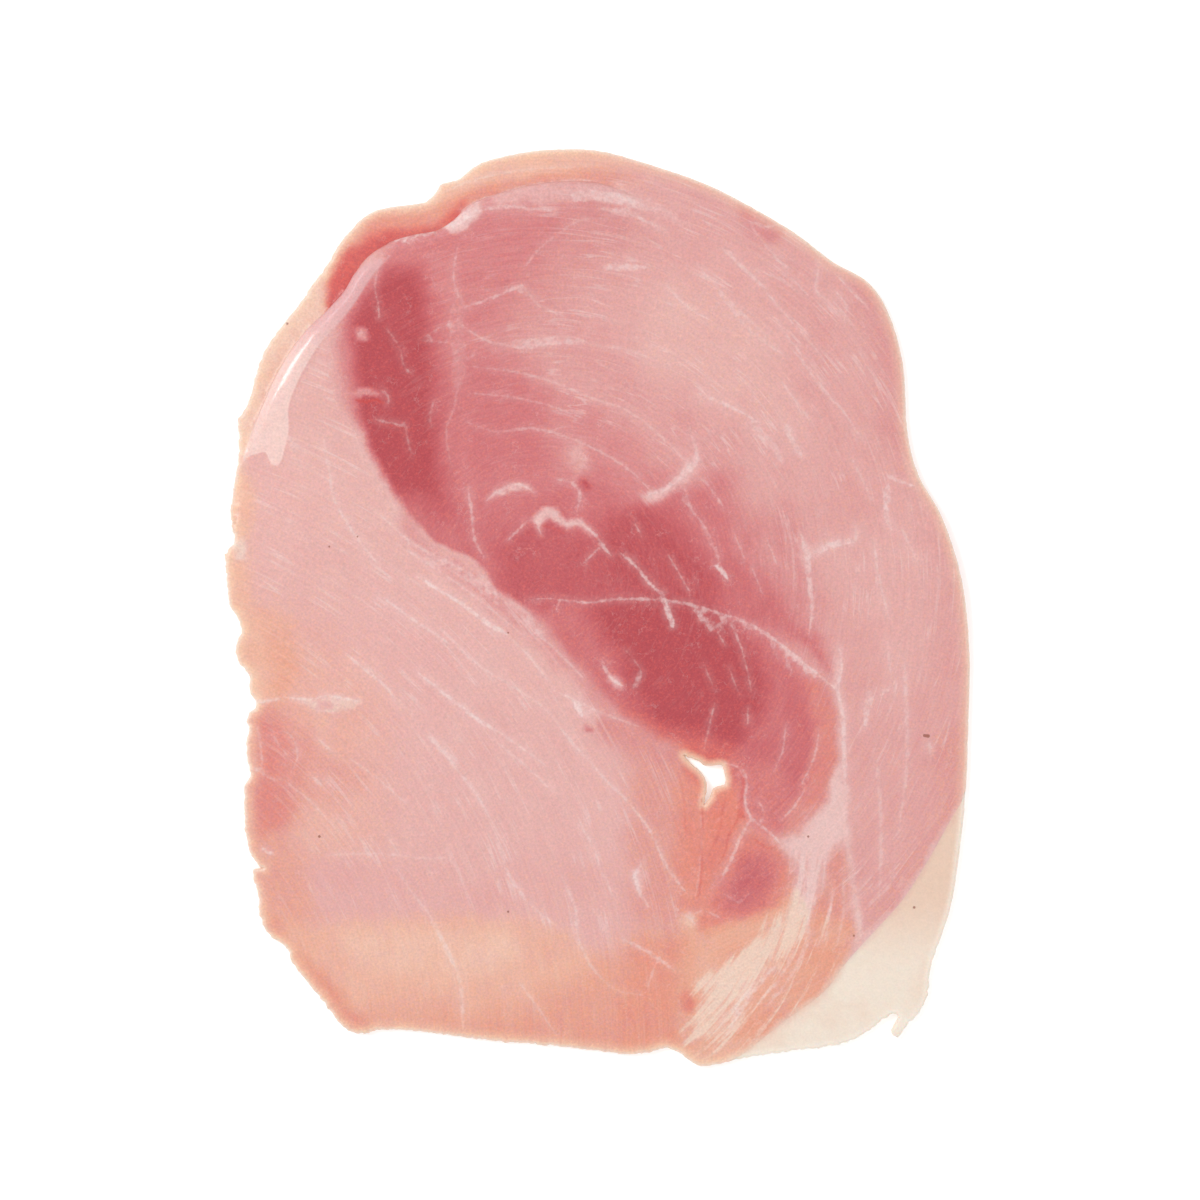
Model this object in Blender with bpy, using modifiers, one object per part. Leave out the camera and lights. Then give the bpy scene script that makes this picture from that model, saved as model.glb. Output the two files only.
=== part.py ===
"""A thin slice of boneless cooked ham, lying flat on a surface.

The slice is one sheet of meat, about 148 mm wide, 183 mm long and 1.8 mm thick.
Its lower right corner is a wedge of white fat. Along the upper left the sheet is
pleated: the main part steps up over a lower outer band. A small tear beside the
darkest muscle goes right through.

Run it with: blender --background --python part.py
"""

import math

import bpy
from mathutils import Vector
from mathutils.geometry import delaunay_2d_cdt, intersect_point_line

MM = 0.001

# Driving sizes, in millimetres. X runs across the slice and Y along it.
THICKNESS = 1.8
PLEAT_STEP = 2.6
FAT_GAP = 0.3
RIM_SPACING = 1.9
PLEAT_SPACING = 2.4
LATTICE_SPACING = 4.6
CLEARANCE = 0.55

# How far the pleat's height takes to grow at each end, and to sink behind the lip.
PLEAT_LEFT_FADE = 14
PLEAT_RIGHT_FADE = 28
PLEAT_SINK_START = 9
PLEAT_SINK_END = 44

# Low swells in the sheet: centre, reach and height.
SWELLS = (
    ((-34, -22), 36, 1.1),
    ((26, 22), 34, 0.9),
    ((72, 14), 30, 1.3),
    ((34, -46), 22, 0.7),
)

# The outline, clockwise from the nick where the top band starts.
TOP_EDGE = [
    (-31.4, 84.4), (-28, 85.4), (-23.6, 88.6), (-17.2, 90.4), (-9.6, 91.4), (0, 91.2),
    (11.4, 88.1), (23.6, 83.6),
]
RIGHT_EDGE = [
    (38, 75.6), (46.6, 69.2), (53.8, 65), (58, 58.6), (60.8, 48.4), (61.6, 35.6),
    (63.8, 26.6), (68.6, 17.8), (72.4, 5.6), (74, -8.4), (73.8, -24.4), (73.2, -38.4),
    (71.8, -50.8),
]
FAT_CORNER = [
    (70.6, -58.4), (69, -64), (66.6, -70.8), (65.4, -78.4), (64, -80.8), (61.6, -83.2),
    (59.8, -85.8), (58.6, -84.6), (60, -81.2), (58.2, -81), (55, -83.6),
]
BOTTOM_EDGE = [
    (49.6, -86.6), (41.6, -88), (33.4, -89), (26.4, -90.4), (21, -91.4), (18, -90),
    (14, -87.8), (6.8, -89), (-7.6, -87.4), (-23.6, -86), (-39.6, -84), (-47, -84.8),
    (-50.6, -83.6),
]
LOWER_LEFT = [
    (-56, -77), (-60.8, -70.8), (-62.4, -67.4), (-65.6, -65.2), (-67.4, -61.2), (-67.6, -58),
    (-68.8, -52.4), (-66.8, -52), (-69, -49.6), (-70.4, -43.6), (-70.4, -35.4), (-69.4, -33.2),
    (-70.2, -28.6), (-69.6, -24), (-69.8, -21.6), (-68.2, -19.6), (-69.2, -17),
]
RAGGED_LEFT = [
    (-69.6, -13.2), (-71.8, -10.4), (-72.2, -7.6), (-71, -4.2), (-71.8, -1.8), (-73.4, 1),
    (-74, 6.4), (-74.2, 10.4), (-72.8, 12.8), (-72.4, 14.6), (-73.2, 17.8), (-72.6, 24),
]
LEFT_BAND = [
    (-71.6, 30.6), (-71.6, 37.8), (-69.6, 41.2), (-66.8, 50.6), (-60.2, 60), (-55.2, 66.8),
    (-50, 74.6), (-44.4, 79.2), (-34.2, 81.1),
]

# The lip of the pleat, from the left edge round to where it fades out at the top.
PLEAT_LINE = [
    (-70.4, 28.6), (-68.6, 34.6), (-66, 41.2), (-62.6, 48.2), (-57.8, 55.2), (-52.4, 61.2),
    (-49.2, 66.6), (-44, 71.6), (-37.4, 74.2), (-32.2, 75.4), (-27.2, 79), (-23.2, 81.6),
    (-15.6, 84), (-7.6, 85.2), (0.8, 84.8), (8.4, 82.2), (16, 79),
]

# Where the lean meets the fat corner, from the right edge down to the bottom edge.
FAT_LINE = [
    (73.2, -37.8), (70.2, -42.8), (65.6, -51), (60.6, -58.6), (55, -64.8), (49.6, -70.8),
    (45.2, -76.6), (37.2, -82.6), (28.4, -89.6),
]

# The tear, from its left tip round the upper side and back.
TEAR = [
    (17, -29.4), (20.4, -30.6), (21.4, -31.4), (24.8, -31.4), (25.4, -33.2), (25.4, -35.2),
    (23.2, -36), (22.4, -37.8), (21.2, -39.4), (21.6, -35.2), (20.6, -33), (18.8, -31.4),
]


def ramp(value, low, high):
    """A smooth step from 0 at low to 1 at high."""
    share = min(max((value - low) / (high - low), 0), 1)
    return share * share * (3 - 2 * share)


def spline(points, spacing, closed):
    """Points along a Catmull-Rom curve through the given points, about spacing apart."""
    knots = [Vector(point) for point in points]
    count = len(knots)
    spans = count if closed else count - 1
    curve = []
    for index in range(spans):
        start = knots[index]
        end = knots[(index + 1) % count]
        before = knots[index - 1] if closed or index else start
        after = knots[(index + 2) % count] if closed or index + 2 < count else end
        steps = max(1, round((end - start).length / spacing))
        for step in range(steps):
            share = step / steps
            curve.append(
                0.5 * (
                    2 * start
                    + (end - before) * share
                    + (2 * before - 5 * start + 4 * end - after) * share ** 2
                    + (3 * start - before - 3 * end + after) * share ** 3
                )
            )
    if not closed:
        curve.append(knots[-1])
    return curve


def beside(line, distance):
    """The line moved sideways, to its right as it runs where distance is positive."""
    moved = []
    for index, point in enumerate(line):
        along = line[min(index + 1, len(line) - 1)] - line[max(index - 1, 0)]
        along.normalize()
        moved.append(point + Vector((along.y, -along.x)) * distance)
    return moved


def nearest_on(line, point):
    """Distance along the line to the point nearest to this one, and how far right of it this is."""
    best = None
    travelled = 0
    for start, end in zip(line, line[1:]):
        _, share = intersect_point_line(point, start, end)
        share = min(max(share, 0), 1)
        length = (end - start).length
        offset = point - start.lerp(end, share)
        if best is None or offset.length < abs(best[1]):
            along = end - start
            side = 1 if along.x * offset.y - along.y * offset.x < 0 else -1
            best = (travelled + length * share, side * offset.length)
        travelled += length
    return best


def inside(point, loop):
    """Whether the point is inside the closed loop."""
    within = False
    for start, end in zip(loop, loop[1:] + loop[:1]):
        if (start.y > point.y) != (end.y > point.y):
            crossing = start.x + (point.y - start.y) * (end.x - start.x) / (end.y - start.y)
            if crossing > point.x:
                within = not within
    return within


def pleat_profile(distance):
    """The pleat's height at a distance behind its line: two quarter rounds that make an S."""
    radius = PLEAT_STEP / 2
    if distance <= -radius:
        return 0
    if distance >= radius:
        return PLEAT_STEP
    drop = math.sqrt(radius ** 2 - (radius - abs(distance)) ** 2)
    return radius + math.copysign(drop, distance) if distance else radius


def pleat_rise(point, pleat):
    """How much the pleat lifts the sheet at this point."""
    length = sum((end - start).length for start, end in zip(pleat, pleat[1:]))
    along, behind = nearest_on(pleat, point)
    ends = ramp(along, 0, PLEAT_LEFT_FADE) * ramp(length - along, 0, PLEAT_RIGHT_FADE)
    return pleat_profile(behind) * ends * (1 - ramp(behind, PLEAT_SINK_START, PLEAT_SINK_END))


def swell_rise(point):
    """How much the low swells lift the sheet at this point."""
    rise = 0
    for centre, reach, height in SWELLS:
        share = (point - Vector(centre)).length / reach
        if share < 1:
            rise += height * (1 - share ** 2) ** 2
    return rise


def pleat_rows(pleat):
    """Rows of points along the pleat where its S bends, each a line for the sheet to follow."""
    radius = PLEAT_STEP / 2
    bend = radius * (1 - math.sin(math.pi / 4))
    return [beside(pleat, distance) for distance in (-radius, -bend, 0, bend, radius)]


def lattice(loop, keep_clear):
    """A triangular lattice of points inside the loop, clear of the given points."""
    low = Vector((min(p.x for p in loop), min(p.y for p in loop)))
    high = Vector((max(p.x for p in loop), max(p.y for p in loop)))
    row_height = LATTICE_SPACING * math.sqrt(3) / 2
    points = []
    for row in range(math.ceil((high.y - low.y) / row_height)):
        shift = LATTICE_SPACING / 2 if row % 2 else 0
        for column in range(math.ceil((high.x - low.x) / LATTICE_SPACING)):
            point = low + Vector((column * LATTICE_SPACING + shift, row * row_height))
            clear = all((point - other).length > CLEARANCE * LATTICE_SPACING for other in keep_clear)
            if clear and inside(point, loop):
                points.append(point)
    return points


def sheet(rim, holes, rows):
    """Triangles that fill the rim, keep the holes open and follow the rows."""
    points = []
    edges = []
    for line, closed in [(rim, True)] + [(hole, True) for hole in holes] + [(row, False) for row in rows]:
        first = len(points)
        points += line
        edges += [(first + index, first + index + 1) for index in range(len(line) - 1)]
        if closed:
            edges.append((len(points) - 1, first))
    points += lattice(rim, points)
    corners, _, triangles, *_ = delaunay_2d_cdt(points, edges, [], 0, 0.001)
    kept = []
    for triangle in triangles:
        middle = sum((corners[corner] for corner in triangle), Vector((0, 0))) / 3
        if inside(middle, rim) and not any(inside(middle, hole) for hole in holes):
            kept.append(tuple(triangle))
    return corners, kept


def split_outline(outline, line):
    """The outline cut along the line: the larger loop, and the loop on the other side."""
    start = min(range(len(outline)), key=lambda index: (outline[index] - line[0]).length)
    end = min(range(len(outline)), key=lambda index: (outline[index] - line[-1]).length)
    inner = line[1:-1]
    larger = outline[end + 1:] + outline[:start] + beside(inner, FAT_GAP / 2)
    smaller = outline[start + 1:end] + beside(inner, -FAT_GAP / 2)[::-1]
    return larger, smaller


def material(name, colour, roughness):
    """A plain material for one sub-part."""
    made = bpy.data.materials.new(name)
    made.use_nodes = True
    made.diffuse_color = (*colour, 1)
    shader = made.node_tree.nodes["Principled BSDF"]
    shader.inputs["Base Color"].default_value = (*colour, 1)
    shader.inputs["Roughness"].default_value = roughness
    shader.inputs["Metallic"].default_value = 0
    return made


def slab(name, corners, triangles, rise, centre, finish):
    """The sheet's triangles draped over their heights and given the slice's thickness."""
    placed = [
        Vector((corner.x - centre.x, corner.y - centre.y, THICKNESS / 2 + rise(corner))) * MM
        for corner in corners
    ]
    mesh = bpy.data.meshes.new(name)
    mesh.from_pydata(placed, [], triangles)
    mesh.materials.append(finish)
    mesh.shade_smooth()
    mesh.set_sharp_from_angle(angle=math.radians(50))
    slab_object = bpy.data.objects.new(name, mesh)
    thicken = slab_object.modifiers.new("Thickness", "SOLIDIFY")
    thicken.thickness = THICKNESS * MM
    thicken.offset = 0
    thicken.use_even_offset = True
    return slab_object


def build():
    for leftover in list(bpy.data.objects):
        bpy.data.objects.remove(leftover)
    collection = bpy.data.collections.new("Boneless ham")
    bpy.context.scene.collection.children.link(collection)

    edges = TOP_EDGE + RIGHT_EDGE + FAT_CORNER + BOTTOM_EDGE + LOWER_LEFT + RAGGED_LEFT + LEFT_BAND
    outline = spline(edges, RIM_SPACING, closed=True)
    fat_line = spline(FAT_LINE, RIM_SPACING, closed=False)
    pleat = spline(PLEAT_LINE, PLEAT_SPACING, closed=False)
    tear = spline(TEAR, RIM_SPACING, closed=True)
    lean_rim, fat_rim = split_outline(outline, fat_line)
    centre = Vector((
        (min(p.x for p in outline) + max(p.x for p in outline)) / 2,
        (min(p.y for p in outline) + max(p.y for p in outline)) / 2,
    ))

    def rise(point):
        return pleat_rise(point, pleat) + swell_rise(point)

    lean_finish = material("Cooked ham lean", (0.60, 0.24, 0.23), 0.42)
    fat_finish = material("Ham fat", (0.84, 0.68, 0.56), 0.38)
    lean_corners, lean_triangles = sheet(lean_rim, [tear], pleat_rows(pleat))
    fat_corners, fat_triangles = sheet(fat_rim, [], [])
    collection.objects.link(slab("lean_meat", lean_corners, lean_triangles, rise, centre, lean_finish))
    collection.objects.link(slab("fat_cap", fat_corners, fat_triangles, rise, centre, fat_finish))


build()
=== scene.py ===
# %% [markdown]
# # A slice of boneless ham
# A boneless ham is several leg muscles pressed together in a mould, cooked, and sliced
# across. One slice therefore shows a map of muscles, each with its own colour and grain,
# with thin seams of fat and membrane where they meet. This notebook dresses the plain
# solids of such a slice with that map. All sizes are in millimetres until a mesh is made.

# %% Load the solids
import math

import bmesh
import bpy
import numpy as np
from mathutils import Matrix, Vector, kdtree, noise
from mathutils.geometry import delaunay_2d_cdt


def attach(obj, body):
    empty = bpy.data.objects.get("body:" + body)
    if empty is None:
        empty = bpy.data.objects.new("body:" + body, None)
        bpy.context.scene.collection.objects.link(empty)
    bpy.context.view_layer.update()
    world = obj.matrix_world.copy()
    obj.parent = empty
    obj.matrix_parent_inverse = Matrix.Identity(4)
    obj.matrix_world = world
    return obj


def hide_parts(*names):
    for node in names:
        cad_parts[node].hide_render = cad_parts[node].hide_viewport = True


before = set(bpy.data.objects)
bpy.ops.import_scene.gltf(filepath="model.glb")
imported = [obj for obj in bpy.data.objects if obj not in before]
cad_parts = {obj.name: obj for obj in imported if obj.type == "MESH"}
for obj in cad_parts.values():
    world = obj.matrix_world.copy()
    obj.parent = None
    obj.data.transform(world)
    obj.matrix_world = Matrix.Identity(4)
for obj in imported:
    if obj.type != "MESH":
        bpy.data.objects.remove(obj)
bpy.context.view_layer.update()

MM = 0.001
SLICE_CENTRE = np.array([-0.12, -0.01])
NOISE_SEED = 7
# Blender's vector noise starts from the clock unless it is given a seed.
noise.seed_set(NOISE_SEED)

# %% [markdown]
# ## Curves through a few points
# Seams, muscle edges and the pleat are all smooth lines. Each is given by a handful of
# points, and this helper runs a Catmull-Rom curve through them. The points may carry a
# third number, the line's half-width, which is smoothed in the same way.


# %% A curve through points
def curve_through(points, spacing, closed=False):
    """Points about spacing apart on a smooth curve through the given ones."""
    knots = np.array(points, float)
    if closed:
        padded = np.vstack([knots[-1:], knots, knots[:2]])
    else:
        padded = np.vstack([knots[:1], knots, knots[-1:]])
    curve = []
    for before, start, end, after in zip(padded, padded[1:], padded[2:], padded[3:]):
        steps = max(1, round(math.dist(start[:2], end[:2]) / spacing))
        share = np.arange(steps)[:, None] / steps
        curve.append(0.5 * (
            2 * start
            + (end - before) * share
            + (2 * before - 5 * start + 4 * end - after) * share ** 2
            + (3 * start - before - 3 * end + after) * share ** 3
        ))
    if not closed:
        curve.append(knots[-1:])
    return np.vstack(curve)


def beside(line, distance, closed=False):
    """The line moved sideways, to its right where distance is positive."""
    if closed:
        along = np.roll(line, -1, axis=0) - np.roll(line, 1, axis=0)
    else:
        along = np.gradient(line, axis=0)
    along /= np.linalg.norm(along, axis=1)[:, None]
    return line + distance * np.column_stack([along[:, 1], -along[:, 0]])


def ramp(values, low, high):
    """A smooth step from 0 at low to 1 at high, for numbers or whole arrays."""
    share = np.clip((values - low) / (high - low), 0, 1)
    return share * share * (3 - 2 * share)


# %% [markdown]
# ## The rim of the slice
# The knife leaves a rim that is smooth where the skin side was trimmed and ragged where
# the meat tore from the mould net. Its course comes from the solids, so that this piece
# fits them exactly: the upper rim of each solid is the chain of edges between a wall
# face and a face that looks up. The solids' meshes are loose triangles, so a merged copy
# is read.


# %% Read the upper rims
def upper_rims(node):
    """The closed chains of points round the top of a solid, in millimetres."""
    work = bmesh.new()
    work.from_mesh(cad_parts[node].data)
    bmesh.ops.remove_doubles(work, verts=work.verts, dist=1e-6)
    work.normal_update()
    following = {}
    for edge in work.edges:
        walls = [face for face in edge.link_faces if abs(face.normal.z) < 0.2]
        tops = [face for face in edge.link_faces if face.normal.z >= 0.2]
        if len(walls) == 1 and len(tops) == 1:
            loop = next(loop for loop in tops[0].loops if loop.edge == edge)
            following[loop.vert] = loop.link_loop_next.vert
    rims = []
    while following:
        vert, after = next(iter(following.items()))
        rim = []
        while vert in following:
            rim.append(vert.co[:2])
            vert = following.pop(vert)
        rims.append(np.array(rim) / MM)
    work.free()
    return sorted(rims, key=len, reverse=True)


lean_rim, tear_rim = upper_rims("lean_meat")[:2]
fat_rim = upper_rims("fat_cap")[0]
print("rim points:", len(lean_rim), "lean,", len(fat_rim), "fat,", len(tear_rim), "tear")

# %% [markdown]
# ## One outline for both solids
# The lean and the fat are one slice, so the sheet is drawn as one and then parted along
# the line between them. The points of each rim that face the other solid are that line;
# the rest of the two rims, end to end, is the outline of the whole slice. A little
# unevenness makes it a cut edge and not a drawn one. It is fine where the ham was trimmed,
# and coarser where the meat tore, at the far left and at the bottom.

# %% Join the two rims
FACING = 0.9
RIM_SPACING = 0.45
TRIMMED_WOBBLE = 0.08
TORN_WOBBLE = 0.34


def run_away_from(rim, other):
    """The stretch of a rim that does not face the other one, in order."""
    gaps = np.linalg.norm(rim[:, None] - other[None], axis=2).min(axis=1)
    away = gaps > FACING
    start = next(i for i in range(len(rim)) if away[i] and not away[i - 1])
    turned = np.roll(away, -start)
    count = len(rim) if turned.all() else int(np.argmin(turned))
    return np.roll(rim, -start, axis=0)[:count], np.roll(rim, -start, axis=0)[count:]


def uneven(points, sizes, scale, seed):
    """The points moved a little, by a smooth noise of the given sizes and scale."""
    places = [Vector((x / scale, y / scale, seed)) for x, y in points]
    shifts = [noise.noise_vector(p) + 0.5 * noise.noise_vector(p * 2.3) for p in places]
    return points + np.reshape(sizes, (-1, 1)) * np.array(shifts)[:, :2]


lean_run, facing_run = run_away_from(lean_rim, fat_rim)
fat_run, _ = run_away_from(fat_rim, lean_rim)
outline = curve_through(np.vstack([lean_run, fat_run]), RIM_SPACING, closed=True)
torn = np.maximum(ramp(-outline[:, 0], 40, 62), ramp(-outline[:, 1], 60, 80))
outline = uneven(outline, TRIMMED_WOBBLE + (TORN_WOBBLE - TRIMMED_WOBBLE) * torn, 1.1, 3.0)
tear = uneven(curve_through(tear_rim, 0.4, closed=True), 0.15, 0.8, 9.0)
fat_line = curve_through(np.vstack([lean_run[-1:], facing_run, lean_run[:1]]), RIM_SPACING)[1:-1]
print("outline:", len(outline), "points,", "size", np.ptp(outline, axis=0).round(1), "mm")

# %% [markdown]
# ## The pleat
# Along the upper left the slice did not lie down flat: its main part rides up over its
# own outer band and ends there in a round lip. In section the middle of the sheet runs
# through two arcs that make a steep S. The arcs' angle follows from the height h and the
# half-width w of the S as 2 atan(h / 2w), so at full height the lip leans slightly over
# the band, and where the height fades to nothing the S opens out to a flat sheet. The
# line and the low swells are those of the solids. The step is lower than theirs, 2.17 mm
# and not 2.6 mm, so that the ribbon of fat on the lip stays near their height.

# %% The shape of the sheet
THICKNESS = 1.8
PLEAT_STEP = 2.17
PLEAT_HALF_WIDTH = 1.0
PLEAT_LEFT_FADE = 14
PLEAT_RIGHT_FADE = 28
PLEAT_SINK_START = 9
PLEAT_SINK_END = 44
LIP_OVERHANG = 1.1
LIP_EDGE = [
    (-71, 28.4), (-69.4, 34.6), (-66.6, 41.2), (-63.4, 48), (-59, 54.4), (-54.2, 59.2),
    (-50.8, 63), (-48.8, 66.6), (-46.2, 70), (-42, 72.8), (-37.4, 74.4), (-32.2, 75.4),
    (-28.8, 77.6), (-26.4, 80), (-22.6, 81.9), (-15.6, 84), (-7.6, 85.2), (0.8, 84.8),
    (8.4, 82.2), (16, 79),
]
SWELLS = [
    ((-34, -22), 36, 1.1),
    ((26, 22), 34, 0.9),
    ((72, 14), 30, 1.3),
    ((34, -46), 22, 0.7),
]
pleat = beside(curve_through(LIP_EDGE, 0.7), LIP_OVERHANG) - SLICE_CENTRE


def nearest_on_line(points, line):
    """For each point: the distance along the line to its nearest place, how far right of
    the line the point is, and the line's direction there."""
    best = np.full(len(points), np.inf)
    along = np.zeros(len(points))
    right = np.zeros(len(points))
    heading = np.zeros((len(points), 2))
    travelled = 0.0
    for start, end in zip(line, line[1:]):
        step = end - start
        length = math.hypot(*step)
        offset = points - start
        share = np.clip(offset @ step / length ** 2, 0, 1)
        offset = offset - share[:, None] * step
        distance = np.hypot(offset[:, 0], offset[:, 1])
        closer = distance < best
        side = np.where(step[0] * offset[:, 1] - step[1] * offset[:, 0] < 0, 1.0, -1.0)
        best[closer] = distance[closer]
        along[closer] = travelled + length * share[closer]
        right[closer] = (side * distance)[closer]
        heading[closer] = step / length
        travelled += length
    return along, right, heading


def pleat_fade(points, behind):
    """How much of its full height the pleat has at each point: it fades at both ends of
    its line. Far from the line this is a mean over a long stretch, so it has no jumps."""
    steps = np.linalg.norm(np.diff(pleat, axis=0), axis=1)
    travelled = np.concatenate([[0], np.cumsum(steps)])
    fade = ramp(travelled, 0, PLEAT_LEFT_FADE)
    fade *= ramp(travelled[-1] - travelled, 0, PLEAT_RIGHT_FADE)
    away = np.linalg.norm(points[:, None] - pleat[None], axis=2)
    blur = 0.8 + 0.3 * np.abs(behind)[:, None]
    weight = np.exp(-(away - away.min(axis=1, keepdims=True)) / blur)
    return weight @ fade / weight.sum(axis=1)


def drape(points):
    """Places in space, in millimetres, of the flat sheet's points."""
    _, behind, heading = nearest_on_line(points, pleat)
    height = PLEAT_STEP * pleat_fade(points, behind)
    height *= 1 - ramp(behind, PLEAT_SINK_START, PLEAT_SINK_END)
    turn = 2 * np.arctan(np.maximum(height, 1e-6) / (2 * PLEAT_HALF_WIDTH))
    radius = PLEAT_HALF_WIDTH / np.sin(turn)
    share = np.clip(1 - np.abs(behind) / PLEAT_HALF_WIDTH, 0, 1)
    across = PLEAT_HALF_WIDTH - radius * np.sin(turn * share)
    climb = radius * (1 - np.cos(turn * share))
    in_bend = share > 0
    rise = np.where(behind > 0, height - climb, np.where(in_bend, climb, 0.0))
    shift = np.where(in_bend, np.sign(behind) * across - behind, 0.0)
    right_of_line = np.stack([heading[:, 1], -heading[:, 0]], axis=1)
    for centre, reach, swell in SWELLS:
        away = np.linalg.norm(points - (np.array(centre) - SLICE_CENTRE), axis=1) / reach
        rise = rise + np.where(away < 1, swell * (1 - np.minimum(away, 1) ** 2) ** 2, 0)
    flat = points + shift[:, None] * right_of_line
    return np.column_stack([flat, THICKNESS / 2 + rise])


print("pleat length:", round(float(np.linalg.norm(np.diff(pleat, axis=0), axis=1).sum()), 1), "mm")

# %% [markdown]
# ## Where the muscles meet
# One muscle of the leg is much darker than the rest. Its lower left edge is crisp: it is
# the natural seam between two muscles, and it runs on through the tear to the bottom.
# Everything left of this line is one pale muscle.

# %% The main muscle edge
MUSCLE_EDGE = [
    (-41.2, 74), (-43.4, 68.8), (-47.2, 63.2), (-51.2, 56), (-51, 49.6), (-50.4, 43.6),
    (-46, 32.6), (-41.6, 24), (-38.4, 19.2), (-35.2, 15.6), (-31.4, 12.6), (-27, 10.6),
    (-24.6, 9.4), (-22.8, 7), (-20.8, 4.4), (-17.8, 2), (-14.8, 0), (-12.8, -2.6), (-9.8, -5.4),
    (-6.4, -8.8), (-2.8, -12.4), (0, -15.8), (3.4, -19.6), (7.2, -22.4), (11.2, -24.6),
    (14.6, -26.6),
    (17.2, -28.8), (19.8, -36.4), (21, -44.8), (20.6, -52.4), (19.8, -58.4), (18, -65.4),
    (17.2, -75.4), (17.2, -92),
]
muscle_edge = curve_through(MUSCLE_EDGE, 0.6) - SLICE_CENTRE
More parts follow.
